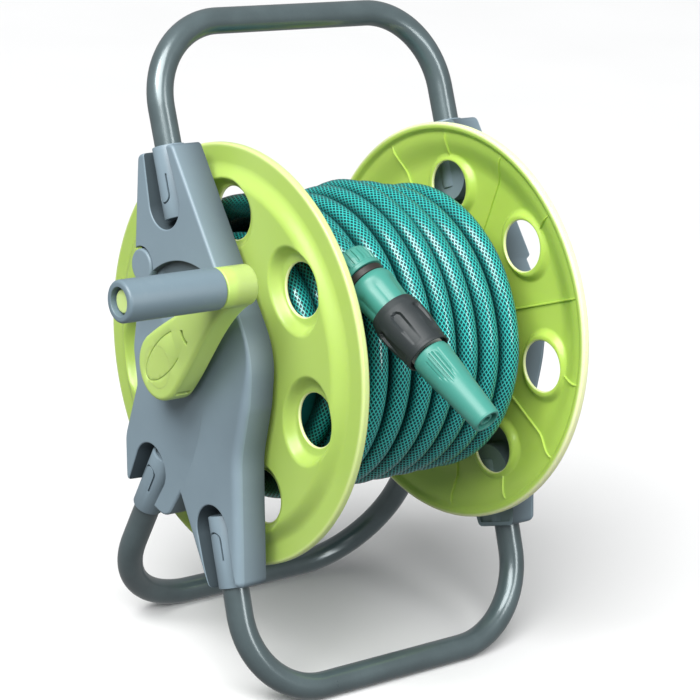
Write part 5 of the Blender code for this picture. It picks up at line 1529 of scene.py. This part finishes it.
@dataclass
class HoseEnd:
    """Nut, clamp ring, connector, collar and twist nozzle on the hose's end.

    A pair for a start or an end holds where a relief begins or stops and how far it fades. A least
    radius keeps a relief to the piece's outside.
    """

    nozzle: Nozzle = field(default_factory=Nozzle)
    nut_length: float = 0.0171
    ring_length: float = 0.0052
    body_radius: float = 0.0166
    body_end: float = 0.0149
    neck_radius: float = 0.0122
    collar_start: float = 0.0498
    collar_length: float = 0.0405
    collar_travel: float = 0.0040
    stem_radius: float = 0.0079
    stem_bore: float = 0.0035
    barrel_radius: float = 0.0135
    tip_radius: float = 0.0098
    orifice: float = 0.0030
    nose_radius: float = 0.0055
    thread_depth: float = 0.0035
    nut_ring_radius: float = 0.0158
    ring_radius: float = 0.0145
    neck_reach: Pair = (0.0010, 0.0060)
    barrel_gap: float = 0.0006
    plug_start: float = 0.0580
    seal_reach: Pair = (0.0040, 0.0062)
    nose_depth: float = 0.0160
    shoulder_length: float = 0.0180
    core_depth: float = 0.0045
    nut_ribs: int = 22
    nut_rib_depth: float = 0.0011
    nut_rib_least: float = 0.0128
    nut_rib_start: Pair = (0.0012, 0.0015)
    nut_rib_end: Pair = (0.0042, 0.0008)
    thumb_place: float = 0.0630
    thumb_angle: float = -54.0
    scoops: int = 6
    scoop_half: Pair = (0.0037, 0.0040)
    scoop_run: float = 0.0200
    scoop_fade: float = 0.80
    scoop_depth: float = 0.0021
    scoop_least: float = 0.0162
    grip_ribs: float = 34.0
    grip_depth: float = 0.0009
    grip_half_angle: float = 0.46
    grip_start: Pair = (0.0040, 0.0015)
    grip_end: Pair = (0.0340, 0.0090)
    grip_slant: float = 0.0075
    grip_skew: float = 0.10
    panel_start: Pair = (0.0030, 0.0020)
    panel_end: Pair = (0.0340, 0.0120)
    panel_angle: float = 0.55
    panel_height: float = 0.0003
    side_fade: float = 0.06
    flute_start: Pair = (0.0290, 0.0060)
    flute_turn: float = 0.25
    flute_share: float = 0.55

    def set_turned(self, name: str, body: str, finish: Finish, corners: Sequence[Triple],
                   sides: int = 96, form: Form | None = None) -> None:
        """Turn one piece about the nozzle's axis.

        Args:
            name: The piece and the node that it replaces.
            body: The body that it rides on.
            finish: Its finish.
            corners: (radius, x, rounding) of the closed profile.
            sides: Steps round the axis.
            form: Shapes the radius.
        """
        profile = self.refined(filleted(corners, guard=0.00015))
        patch = turned(profile, sides, form=form).moved(self.nozzle.turn(), self.nozzle.start())
        set_piece(Role(name, body, finish, crisp=42.0), [patch])

    @staticmethod
    def refined(profile: Array, step: float = 0.0009) -> Array:
        """Add points along a profile's long straights, so that ribs and hollows can shape them."""
        length = np.concatenate(([0.0], np.cumsum(np.linalg.norm(np.diff(profile, axis=0), axis=1))))
        places = np.unique(np.concatenate((length, np.arange(0.0, length[-1], step))))
        return np.stack([np.interp(places, length, profile[:, axis]) for axis in (0, 1)], 1)

    def from_thumb(self, angle: Array, repeats: int, offset: float = 0.0) -> Array:
        """Angle from the nearest of some equal places, of which one is at the thumb."""
        half = math.pi / repeats
        return np.mod(angle - math.radians(self.thumb_angle) + half + offset, 2 * half) - half

    def nut_form(self, angle: Array, x: Array, radius: Array) -> Array:
        """Lengthwise ribs on the nut's outside, which fade out before its plain tip ring."""
        end, run = self.nut_rib_end
        window = rise(x, self.nut_rib_start) * fall(x, (self.nut_length - end, run))
        groove = ease(np.cos(self.nut_ribs * angle) * 1.4 - 0.1)
        return radius - self.nut_rib_depth * groove * window * (radius > self.nut_rib_least)

    def collar_form(self, angle: Array, x: Array, radius: Array) -> Array:
        """Scoops round the collar: each starts with a round end, runs forwards and fades out."""
        away = self.from_thumb(angle, self.scoops)
        behind = np.minimum(x - self.thumb_place, 0.0)
        oval = (away * self.body_radius / self.scoop_half[0]) ** 2 + (behind / self.scoop_half[1]) ** 2
        fading = 1.0 - self.scoop_fade * rise(x, (self.thumb_place, self.scoop_run))
        return radius - self.scoop_depth * fading * ease((1.0 - oval) * 2.2) * (radius > self.scoop_least)

    def barrel_form(self, angle: Array, x: Array, radius: Array) -> Array:
        """Two groups of lengthwise grip grooves near the barrel's start, each beside a raised panel."""
        start = self.collar_start + self.collar_length
        away = self.from_thumb(angle, 2)
        group = fall(np.abs(away), (self.grip_half_angle, self.side_fade))
        slant = self.grip_slant * np.abs(away - self.grip_skew)
        x = x - start
        run = rise(x - slant, self.grip_start) * fall(x + 2.0 * slant, self.grip_end)
        groove = ease(np.cos(self.grip_ribs * away) * 1.5 - 0.15)
        panel = (rise(away, (self.panel_angle, self.side_fade)) * rise(x, self.panel_start)
                 * fall(x, self.panel_end))
        outside = radius > self.tip_radius - 0.0012
        return radius - (self.grip_depth * groove * group * run - self.panel_height * panel) * outside

    def body_form(self, angle: Array, x: Array, radius: Array) -> Array:
        """Shallow flutes round the connector's body."""
        middle = rise(x, self.flute_start)
        away = self.from_thumb(angle, self.scoops, self.flute_turn)
        flat = self.body_radius * (1.0 - np.cos(away)) * self.flute_share
        return radius - flat * middle * (radius > self.body_end - 0.0008)

    def build(self) -> None:
        """Make every fitting in order along the axis."""
        bore = HOSE_RADIUS + GAP
        ring_start = self.nut_length + GAP
        body_start = ring_start + self.ring_length + GAP
        thread = self.body_end - self.thread_depth
        collar_end = self.collar_start + self.collar_length
        neck_start, neck_end = self.collar_start + self.neck_reach[0], collar_end - self.neck_reach[1]
        length = self.nut_length
        self.set_turned("hose_nut", "reel", Finish.TEAL, [
            (bore + 0.0008, 0.0, 0.0003), (0.0134, 0.0, 0.0006), (0.0147, 0.0020, 0.002),
            (0.0156, 0.0085, 0.004), (0.0150, length - 0.0036, 0.0003),
            (self.nut_ring_radius, length - 0.0030, 0.0004), (self.nut_ring_radius, length, 0.0006),
            (thread + GAP, length, 0), (thread + GAP, INSERT + GAP, 0),
            (bore, INSERT + GAP, 0), (bore, 0.0010, 0.0003)], sides=198, form=self.nut_form)
        self.set_turned("hose_clamp_ring", "reel", Finish.RING, [
            (thread + GAP, ring_start, 0), (self.ring_radius, ring_start, 0.0008),
            (self.ring_radius, ring_start + self.ring_length, 0.0008),
            (thread + GAP, ring_start + self.ring_length, 0)])
        self.set_turned("connector_body", "reel", Finish.TEAL, [
            (self.stem_bore, INSERT + 2 * GAP, 0), (thread, INSERT + 2 * GAP, 0),
            (thread, body_start, 0), (self.body_radius - 0.0020, body_start, 0.0012),
            (self.body_radius, body_start + 0.0040, 0.006), (self.body_end, neck_start - 0.0012, 0.004),
            (self.body_end, neck_start, 0.0004), (self.neck_radius, neck_start, 0),
            (self.neck_radius, neck_end, 0), (self.stem_radius + GAP, neck_end, 0),
            (self.stem_radius + GAP, self.plug_start, 0), (self.stem_bore, self.plug_start, 0)],
            sides=120, form=self.body_form)
        collar_bore = self.neck_radius + 0.0002 + GAP
        skirt_bore = self.body_end + 0.0004
        skirt_end = neck_start + self.collar_travel + 0.0010
        self.set_turned("release_collar", "collar", Finish.COLLAR, [
            (skirt_bore, self.collar_start, 0.0002), (0.0163, self.collar_start, 0.0008),
            (0.0178, self.collar_start + 0.0060, 0.006), (0.0182, self.collar_start + 0.0170, 0.020),
            (0.0160, collar_end - 0.0034, 0.0080), (0.0162, collar_end - 0.0018, 0.0006),
            (0.0160, collar_end, 0.0008), (0.0148, collar_end, 0.0006), (0.0146, collar_end - 0.0040, 0.0003),
            (collar_bore, collar_end - 0.0040, 0.0003), (collar_bore, skirt_end, 0),
            (skirt_bore, skirt_end, 0)], sides=160, form=self.collar_form)
        self.build_nozzle(collar_end + self.barrel_gap, neck_end)

    def build_nozzle(self, barrel_start: float, neck_end: float) -> None:
        """Make the plug stem and the twist barrel.

        Args:
            barrel_start: Where the barrel starts along the axis.
            neck_end: Where the connector's neck ends.
        """
        tip, plug_start = self.nozzle.length(), self.plug_start
        seal_start, seal_end = (plug_start + reach for reach in self.seal_reach)
        stem_end = tip - self.nose_depth
        shoulder = stem_end - self.shoulder_length
        core = self.barrel_radius - self.core_depth
        outer, bore = self.stem_radius, self.stem_bore
        self.set_turned("nozzle_stem", "reel", Finish.TEAL, [
            (bore, plug_start + GAP, 0), (outer - 0.0006, plug_start + GAP, 0.0002),
            (outer, plug_start + 0.0015, 0.0003), (outer, seal_start, 0), (outer - 0.0012, seal_start, 0),
            (outer - 0.0012, seal_end, 0), (outer, seal_end, 0), (outer, neck_end - 0.001, 0),
            (outer - 0.0014, neck_end, 0), (outer - 0.0014, neck_end + 0.0045, 0),
            (outer, neck_end + 0.0055, 0), (outer, barrel_start, 0), (core, barrel_start + 0.001, 0),
            (core, shoulder, 0), (self.nose_radius, shoulder + 0.006, 0),
            (self.nose_radius, stem_end, 0.0005), (bore, stem_end, 0)])
        inner = core + GAP
        rim = self.tip_radius
        self.set_turned("nozzle_barrel", "barrel", Finish.TEAL, [
            (inner, barrel_start, 0), (self.barrel_radius - 0.0004, barrel_start, 0.0012),
            (self.barrel_radius, barrel_start + 0.0045, 0.003), (rim, tip - 0.0016, 0.0008),
            (rim - 0.0005, tip, 0.0005), (rim - 0.0022, tip, 0.0004), (rim - 0.0026, tip - 0.0050, 0.0005),
            (0.0052, tip - 0.0050, 0.0004), (0.0047, tip - 0.0014, 0.0004),
            (self.orifice, tip - 0.0014, 0.0003), (self.orifice, stem_end + 0.0045, 0),
            (self.nose_radius + GAP, stem_end + GAP, 0),
            (self.nose_radius + GAP, shoulder + 0.0065, 0), (inner, shoulder + 0.0004, 0)],
            sides=198, form=self.barrel_form)


# Crank


@dataclass
class Crank:
    """The hand crank: arm, cap, turning grip and its retainer."""

    back_x: float = 0.1465
    thickness: float = 0.0180
    length: float = 0.1051
    angle: float = 46.6
    hub_radius: float = 0.0240
    boss_radius: float = 0.0138
    boss_length: float = 0.0250
    cap_radius: float = 0.0150
    cap_depth: float = 0.0022
    cap_rows: Triple = (0.0040, 0.0080, 0.0120)
    cap_gap: float = 0.0001
    edge: float = 0.0032
    back_edge: float = 0.0008
    draw_in: Pair = (-0.10, 0.18)
    plug_bore: float = 0.0036
    plug_hole: float = 0.0195
    plug_radius: float = 0.0031
    plug_length: float = 0.0150
    plug_sink: float = 0.0034
    spindle_radius: float = 0.0070
    grip_radius: float = 0.0141
    grip_length: float = 0.0757
    grip_recess: float = 0.0075
    retainer_radius: float = 0.0078
    seam_centre: Pair = (0.0125, 0.0015)
    seam_axes: Pair = (0.0280, 0.0112)
    seam_half: float = 0.00045
    seam_depth: float = 0.0006
    seam_span: Pair = (48.0, 300.0)
    slot_centre: Pair = (0.0515, -0.0011)
    slot_axes: Pair = (0.0108, 0.0108)
    slot_half: float = 0.0013
    slot_depth: float = 0.0050
    slot_span: Pair = (150.0, 208.0)
    notch_angle: float = -38.0
    notch_span: Pair = (5.0, 3.0)
    notch_x: float = 0.1550
    notch_half: float = 0.0062
    notch_depth: float = 0.0030

    def arm_point(self, distance: Array | float, offset: Array | float = 0.0) -> Array:
        """(y, z) from the distance along the arm and the offset across it."""
        turn = math.radians(self.angle)
        along = np.array((-math.cos(turn), math.sin(turn)))
        across = np.array((along[1], -along[0]))
        return np.asarray(distance)[..., None] * along + np.asarray(offset)[..., None] * across

    def outline(self) -> Array:
        """Arm outline: the hub's arc, a side that draws in as a cubic, the boss's arc, and back."""
        hub = np.radians(np.linspace(80.0, 280.0, 81))
        boss = np.radians(np.linspace(-115.0, 115.0, 37))
        radius = self.boss_radius - GAP
        first = (self.hub_radius * math.cos(hub[0]), self.hub_radius * math.sin(hub[0]))
        last = (self.length + radius * math.cos(boss[-1]), radius * math.sin(boss[-1]))
        share = np.linspace(0.0, 1.0, 18)[1:-1]
        run = last[0] - first[0]
        distance = first[0] + share * run
        half = hermite(share, first[1], last[1], *(slope * run for slope in self.draw_in))
        return np.concatenate((
            self.arm_point(self.hub_radius * np.cos(hub), self.hub_radius * np.sin(hub)),
            self.arm_point(distance, -half),
            self.arm_point(self.length + radius * np.cos(boss), radius * np.sin(boss)),
            self.arm_point(distance[::-1], half[::-1]),
            self.arm_point(self.hub_radius * np.cos(hub[:1]), self.hub_radius * np.sin(hub[:1]))))

    def band(self, centre: Pair, axes: Pair, half: float, span: Pair, steps: int) -> Array:
        """Outline of a narrow band along an oval: centre + ((a +- h) cos t, (b +- h) sin t).

        Args:
            centre: The oval's centre along and across the arm.
            axes: The oval's half lengths along and across the arm.
            half: Half the band's width.
            span: First and last angle in degrees.
            steps: Points along each side of the band.

        Returns:
            The closed outline in (y, z).
        """
        turn = np.radians(np.linspace(*span, steps))
        sides = [self.arm_point(centre[0] + (axes[0] + grow) * np.cos(way),
                                centre[1] + (axes[1] + grow) * np.sin(way))
                 for grow, way in ((half, turn), (-half, turn[::-1]))]
        return np.concatenate((*sides, sides[0][:1]))

    def marks(self) -> list[tuple[Array, float]]:
        """Outline and depth of the fine oval seam and of the pry slot in the face."""
        seam = self.band(self.seam_centre, self.seam_axes, self.seam_half, self.seam_span, 90)
        slot = self.band(self.slot_centre, self.slot_axes, self.slot_half, self.slot_span, 16)
        return [(seam, self.seam_depth), (slot, self.slot_depth)]

    def mark_drop(self, spots: Array) -> Array:
        """Depth of the seam and the slot at each spot."""
        return sum(depth * ease((depth_inside(spots, outline) + 0.0001) / STEEP)
                   for outline, depth in self.marks())

    def mark_painted_shade(self, spots: Array) -> Array:
        """Painted shade in the marks: faint in the seam, full in the slot."""
        return np.clip(self.mark_drop(spots) / (0.4 * self.slot_depth), 0.0, 1.0)

    def mark_rows(self) -> list[Array]:
        """Rows beside the seam and the slot."""
        return [inset(outline, grow) for outline, _ in self.marks() for grow in (-0.0002, 0.0, 0.0002)]

    def arm(self) -> list[Patch]:
        """The arm's face relief, its side wall with a slot, and its back, round the flush cap's seat."""
        outline = self.outline()
        face = self.back_x + self.thickness
        recess = self.cap_radius + self.cap_gap

        def height(spots: Array) -> Array:
            """X of the face: a quarter-round edge, the marks, and the recess under the cap."""
            radius = np.linalg.norm(spots, axis=1)
            pit = (self.cap_depth + GAP) * (radius < recess - 0.00005)
            return face - edge_drop(depth_inside(spots, outline), self.edge) - self.mark_drop(spots) - pit

        rows = bordered(outline, edge_rows(self.edge)) + rings(recess, (-self.cap_gap, 0.0))
        rows += self.mark_rows()
        flat, triangles = tiled(rows, lambda spots: depth_inside(spots, outline) > 0.0)
        front = np.column_stack((-height(flat), flat))
        flat, back_triangles = tiled(bordered(outline, edge_rows(self.back_edge, 3)),
                                     lambda spots: depth_inside(spots, outline) > 0.0)
        drop = edge_drop(depth_inside(flat, outline), self.back_edge)
        back = np.column_stack((-(self.back_x + drop), flat))
        levels = np.concatenate(([face - self.edge, face - self.edge - 0.0004],
                                 self.notch_x + self.notch_half * np.linspace(1.0, -1.0, 13),
                                 [self.back_x + 0.0013, self.back_x + self.back_edge]))[:, None]
        turn = np.degrees(np.arctan2(outline[:, 1], -outline[:, 0]))[None, :]
        notch = (fall(np.abs(turn - self.notch_angle), self.notch_span)
                 * fall(np.abs(levels - self.notch_x), (self.notch_half, 0.3 * self.notch_half)))
        inwards = (inset(outline, self.notch_depth) - outline)[None]
        loops = outline[None] + notch[..., None] * inwards
        wall = np.concatenate((np.broadcast_to(-levels[..., None], (*loops.shape[:2], 1)), loops), 2)
        # Painted shade: in the face's marks and in the side wall's notch.
        return [shaded(Patch(front, triangles), self.mark_painted_shade(front[:, 1:])),
                shaded(Patch(back, back_triangles)), shaded(lattice(wall), notch.ravel())]

    def at_boss(self, profile: Array, sides: int) -> Patch:
        """Turn a profile about the boss's axis."""
        return turned(profile, sides).mirrored(Side.CRANK, (0.0, *self.arm_point(self.length)))

    def boss(self) -> Patch:
        """The round boss at the arm's end with the spindle that carries the grip."""
        end = self.back_x + self.boss_length
        spindle = end + GAP + self.grip_length - self.grip_recess
        profile = filleted([(0.0, self.back_x + 0.0005, 0), (self.boss_radius, self.back_x + 0.0005, 0.0010),
                            (self.boss_radius, end, 0.0012), (self.spindle_radius, end, 0),
                            (self.spindle_radius, spindle, 0.0006), (self.plug_bore, spindle, 0.0002),
                            (self.plug_bore, spindle - self.plug_hole, 0),
                            (0.0, spindle - self.plug_hole, 0)], closed=False)
        return shaded(self.at_boss(profile, 96))

    def cap(self) -> list[Patch]:
        """The flush cap over the screw; the marks in the arm's face run on across it."""
        face = self.back_x + self.thickness
        floor = face - self.cap_depth + GAP
        rows = rings(0.0, (self.cap_radius, *self.cap_rows)) + self.mark_rows()
        flat, triangles = tiled(rows, lambda spots: np.linalg.norm(spots, axis=1) < self.cap_radius)
        top = np.column_stack((-(face - self.mark_drop(flat)), flat))
        wall = skirt(top, triangles, -floor)
        ring = wall.points[len(top):][np.unique(border(triangles))]
        turn = np.argsort(np.arctan2(ring[:, 1], ring[:, 2]))
        ring = np.concatenate((ring[turn], ring[turn[:1]]))
        centre = np.broadcast_to((-floor, 0.0, 0.0), ring.shape)
        # Painted shade in the marks on the cap's top.
        return [shaded(Patch(top, triangles), self.mark_painted_shade(flat)), shaded(wall),
                shaded(lattice(np.array((ring, centre))))]

    def build(self) -> None:
        """Make the arm, the cap, the grip and the retainer."""
        set_piece(Role("crank_arm", "reel", Finish.LIME_ARM, crisp=50.0), [*self.arm(), self.boss()])
        set_piece(Role("crank_hub_cap", "reel", Finish.LIME_ARM, crisp=50.0), self.cap())
        start = self.back_x + self.boss_length + GAP
        end = start + self.grip_length
        bore, recess = self.spindle_radius + GAP, self.retainer_radius + 0.0016
        grip = filleted([(bore, start, 0), (self.grip_radius, start, 0.0012), (self.grip_radius, end, 0.0046),
                         (recess, end, 0.0007), (recess, end - self.grip_recess, 0),
                         (bore, end - self.grip_recess, 0)], step=9.0)
        set_piece(Role("crank_grip", "grip", Finish.GRIP), [self.at_boss(grip, 112)])
        seat = end - self.grip_recess + GAP
        tip, head = seat - self.plug_length, seat + self.grip_recess - self.plug_sink
        plug = filleted([(0.0, tip, 0), (self.plug_radius, tip, 0.0004), (self.plug_radius, seat, 0),
                         (self.retainer_radius, seat, 0.0002), (self.retainer_radius, head, 0.0012),
                         (0.0, head + 0.0002, 0)], closed=False)
        set_piece(Role("grip_retainer", "reel", Finish.LIME_PLAIN), [self.at_boss(plug, 72)])


@dataclass
class Inlet:
    """The swivelling water inlet on the far side: stub, elbow and quick-connect nipple."""

    stub_radius: float = 0.0081
    seal_width: float = 0.0022
    seals: Pair = (0.0780, 0.0900)
    elbow_x: float = 0.1540
    elbow_radius: float = 0.0094
    bend: float = 0.0100
    drop: float = 0.0340
    nipple_length: float = 0.0360
    nipple_radius: float = 0.0079
    nut_radius: float = 0.0120
    stem_radius: float = 0.0066
    bore: float = 0.0035
    clip_thickness: float = 0.0012
    tail_length: float = 0.0025
    seal_depth: float = 0.0013
    latch_depth: float = 0.0014
    collar_radius: float = 0.0140
    collar_thickness: float = 0.0030
    flat_reach: float = 0.0106
    flat_least: float = 0.0100

    def elbow(self) -> list[Patch]:
        """The stub with its grooves, and the drop leg swept through a quarter bend."""
        clip = WATER_TUBE_END - 2 * GAP - self.clip_thickness
        groove, tail = self.stub_radius - self.seal_depth, self.stub_radius - 0.0004
        stub = [(0.0, clip - self.tail_length), (tail, clip - self.tail_length), (tail, clip),
                (groove, clip), (groove, WATER_TUBE_END), (self.stub_radius, WATER_TUBE_END)]
        for place in self.seals:
            far = place + self.seal_width + 2 * GAP
            stub += [(self.stub_radius, place), (groove, place), (groove, far), (self.stub_radius, far)]
        collar = FAR_JOURNAL_END + GAP
        rim, face = self.collar_radius, collar + self.collar_thickness
        stub += [(self.stub_radius, collar), (rim, collar), (rim, collar + 0.0024), (0.0134, face),
                 (0.0, face)]
        turn = np.linspace(0.0, math.pi / 2, 16)
        x = np.concatenate(([collar + 0.001], self.elbow_x - self.bend * (1.0 - np.sin(turn)),
                            [self.elbow_x, self.elbow_x, self.elbow_x]))
        z = np.concatenate(([0.0], -self.bend * (1.0 - np.cos(turn)),
                            [-0.0290, -0.0300, -self.drop]))
        radius = np.full(len(x), self.elbow_radius)
        radius[-2:] = self.elbow_radius + 0.0008
        path = np.column_stack((x, np.zeros(len(x)), z))
        return [turned(stub, 64), swept(path, np.array((0.0, 1.0, 0.0)), radius, 48)]

    def nipple(self) -> Patch:
        """The nipple below the elbow: hexagonal nut, plug with its latch groove, and the bore."""
        top, nut_top = self.drop - 0.011, self.drop + GAP
        nut_end, end = nut_top + 0.008, self.drop + self.nipple_length
        groove = self.nipple_radius - self.latch_depth
        profile = filleted([(self.bore, top, 0), (self.stem_radius, top, 0.0004),
                            (self.stem_radius, nut_top, 0),
                            (self.nut_radius, nut_top, 0.0008), (self.nut_radius, nut_end, 0.0008),
                            (self.nipple_radius, nut_end, 0), (self.nipple_radius, nut_end + 0.010, 0.0003),
                            (groove, nut_end + 0.011, 0.0003), (groove, nut_end + 0.0145, 0.0003),
                            (self.nipple_radius, nut_end + 0.0155, 0.0003), (self.nipple_radius, end, 0.0012),
                            (self.bore, end, 0.0004)], guard=0.0001)

        def hexagon(angle: Array, x: Array, radius: Array) -> Array:
            """Six flats on the nut: the radius over the cosine of the angle from a flat's middle."""
            flat = self.flat_reach / np.cos(np.mod(angle, math.pi / 3) - math.pi / 6)
            return np.where(radius > self.flat_least, np.minimum(radius, flat), radius)

        down = np.array(((0.0, 0.0, 1.0), (0.0, 1.0, 0.0), (-1.0, 0.0, 0.0)))
        return turned(profile, form=hexagon).moved(down, np.array((self.elbow_x, 0.0, 0.0)))

    def build(self) -> None:
        """Make the elbow and the nipple."""
        set_piece(Role("inlet_elbow", "inlet", Finish.PLATE), self.elbow())
        set_piece(Role("inlet_nipple", "inlet", Finish.TEAL), [self.nipple()])


@dataclass
class InnerParts:
    """Small solids whose shape is right already: screws, clip, feed elbow, jaws and seals."""

    finishes: dict[Finish, tuple[str, ...]] = field(default_factory=lambda: {
        Finish.ZINC: ("drum_screw_1", "drum_screw_2", "drum_screw_3", "crank_screw", "inlet_clip"),
        Finish.TEAL: ("feed_elbow",),
        Finish.BEARING: ("connector_jaws",),
        Finish.SEAL: ("nozzle_seal", "inlet_seal_inner", "inlet_seal_outer")})

    def dress(self) -> None:
        """Give each solid its finish."""
        for finish, nodes in self.finishes.items():
            for node in nodes:
                materials = frame["nodes"][node].data.materials
                materials.clear()
                materials.append(finish.material())
                LOG.info("%s dressed", node)


# Studio


@dataclass(frozen=True)
class Lamp:
    """A soft light: its place from the hub, its width and height, and its power."""

    name: str
    place: Triple
    size: Pair
    power: float


@dataclass
class Studio:
    """The pale floor, the soft lights and the camera at the photograph's place."""

    eye: Triple = (-1.0531, -1.2708, 0.5023)
    right: Triple = (0.7807, -0.6203, 0.0760)
    up: Triple = (0.1279, 0.2778, 0.9521)
    lens: float = 121.46
    sensor: float = 36.0
    ambient: float = 0.27
    panel_strength: float = 4.2
    panel_width: float = 50.0
    panel_way: Triple = (-0.62, -0.42, 0.90)
    lamps: tuple[Lamp, ...] = (Lamp("front", (0.35, -2.0, 0.75), (0.60, 1.7), 20.0),
                               Lamp("left", (-0.9, -0.1, 1.0), (0.5, 0.5), 6.0))
    floor_half: float = 6.0
    floor_greys: Pair = (0.80, 0.82)
    sky: Triple = (0.96, 0.985, 1.0)

    def camera(self) -> None:
        """Place the camera by its three directions."""
        data = bpy.data.cameras.new("camera")
        data.lens, data.sensor_width = self.lens, self.sensor
        camera = added("camera", data)
        right = Vector(self.right).normalized()
        back = right.cross(Vector(self.up)).normalized()
        up = back.cross(right)
        turn = Matrix((right, up, back)).transposed().to_4x4()
        camera.matrix_world = Matrix.Translation(Vector(HUB) + Vector(self.eye)) @ turn
        bpy.context.scene.camera = camera

    @staticmethod
    def facing(way: Sequence[float]) -> Euler:
        """Return the turn that points a light from its place towards the hub."""
        return (-Vector(way)).to_track_quat("-Z", "Y").to_euler()

    def hang(self, lamp: Lamp) -> None:
        """Hang a soft light that faces the hub."""
        data = bpy.data.lights.new(lamp.name, "AREA")
        data.shape, data.energy = "RECTANGLE", lamp.power
        data.size, data.size_y = lamp.size
        light = added(lamp.name, data)
        light.location = Vector(HUB) + Vector(lamp.place)
        light.rotation_euler = self.facing(lamp.place)

    def floor(self) -> None:
        """Lay a wide pale floor under the feet."""
        half = self.floor_half
        mesh = bpy.data.meshes.new("studio_floor")
        corners = [(-half, -half, 0.0), (half, -half, 0.0), (half, half, 0.0), (-half, half, 0.0)]
        mesh.from_pydata(corners, [], [(0, 1, 2, 3)])
        tree = Tree("studio_floor")
        clouds = tree.noise(3.0, 2.0)
        colour = tree.blended(clouds, *((grey,) * 3 for grey in self.floor_greys))
        mesh.materials.append(tree.dress(colour, clouds * 0.1 + 0.55))
        floor = added("studio_floor", mesh)
        floor.visible_diffuse = False
        floor.visible_glossy = False

    def world(self) -> None:
        """Light the surroundings evenly, and show them white behind the object."""
        world = bpy.data.worlds.new("studio")
        world.use_nodes = True
        background = world.node_tree.nodes["Background"]
        background.inputs["Color"].default_value = (*self.sky, 1.0)
        seen = world.node_tree.nodes.new("ShaderNodeLightPath")
        strength = world.node_tree.nodes.new("ShaderNodeMath")
        strength.operation = "MAXIMUM"
        strength.inputs[1].default_value = self.ambient
        world.node_tree.links.new(seen.outputs["Is Camera Ray"], strength.inputs[0])
        world.node_tree.links.new(strength.outputs[0], background.inputs["Strength"])
        bpy.context.scene.world = world

    def sky_panel(self) -> None:
        """Light everything evenly from a broad, soft disc above, in front and to the left."""
        data = bpy.data.lights.new("panel", "SUN")
        data.energy, data.angle = self.panel_strength, math.radians(self.panel_width)
        added("panel", data).rotation_euler = self.facing(self.panel_way)

    def build(self) -> None:
        """Set up the whole studio."""
        self.camera()
        self.floor()
        self.world()
        self.sky_panel()
        for lamp in self.lamps:
            self.hang(lamp)
        bpy.context.scene.view_settings.view_transform = "Standard"


def main() -> None:
    """Build the reel piece by piece, then the studio."""
    logging.basicConfig(level=logging.INFO, format="%(name)s: %(message)s")
    Studio().build()
    TubeFrame().build()
    SidePlate(Side.CRANK, with_ear=True).build()
    SidePlate(Side.FAR, with_ear=False).build()
    Bushes().build()
    Flange(Side.CRANK).build()
    Flange(Side.FAR, web_radius=0.1170, band_radius=0.1400, dish_floor_x=0.1060, dish_radial=0.0250,
           dish_tangent=0.0280, dish_floor_share=0.78, journal_end=FAR_JOURNAL_END).build()
    HoseWinding().build()
    HoseEnd().build()
    Crank().build()
    Inlet().build()
    InnerParts().dress()


if __name__ == "__main__":
    main()
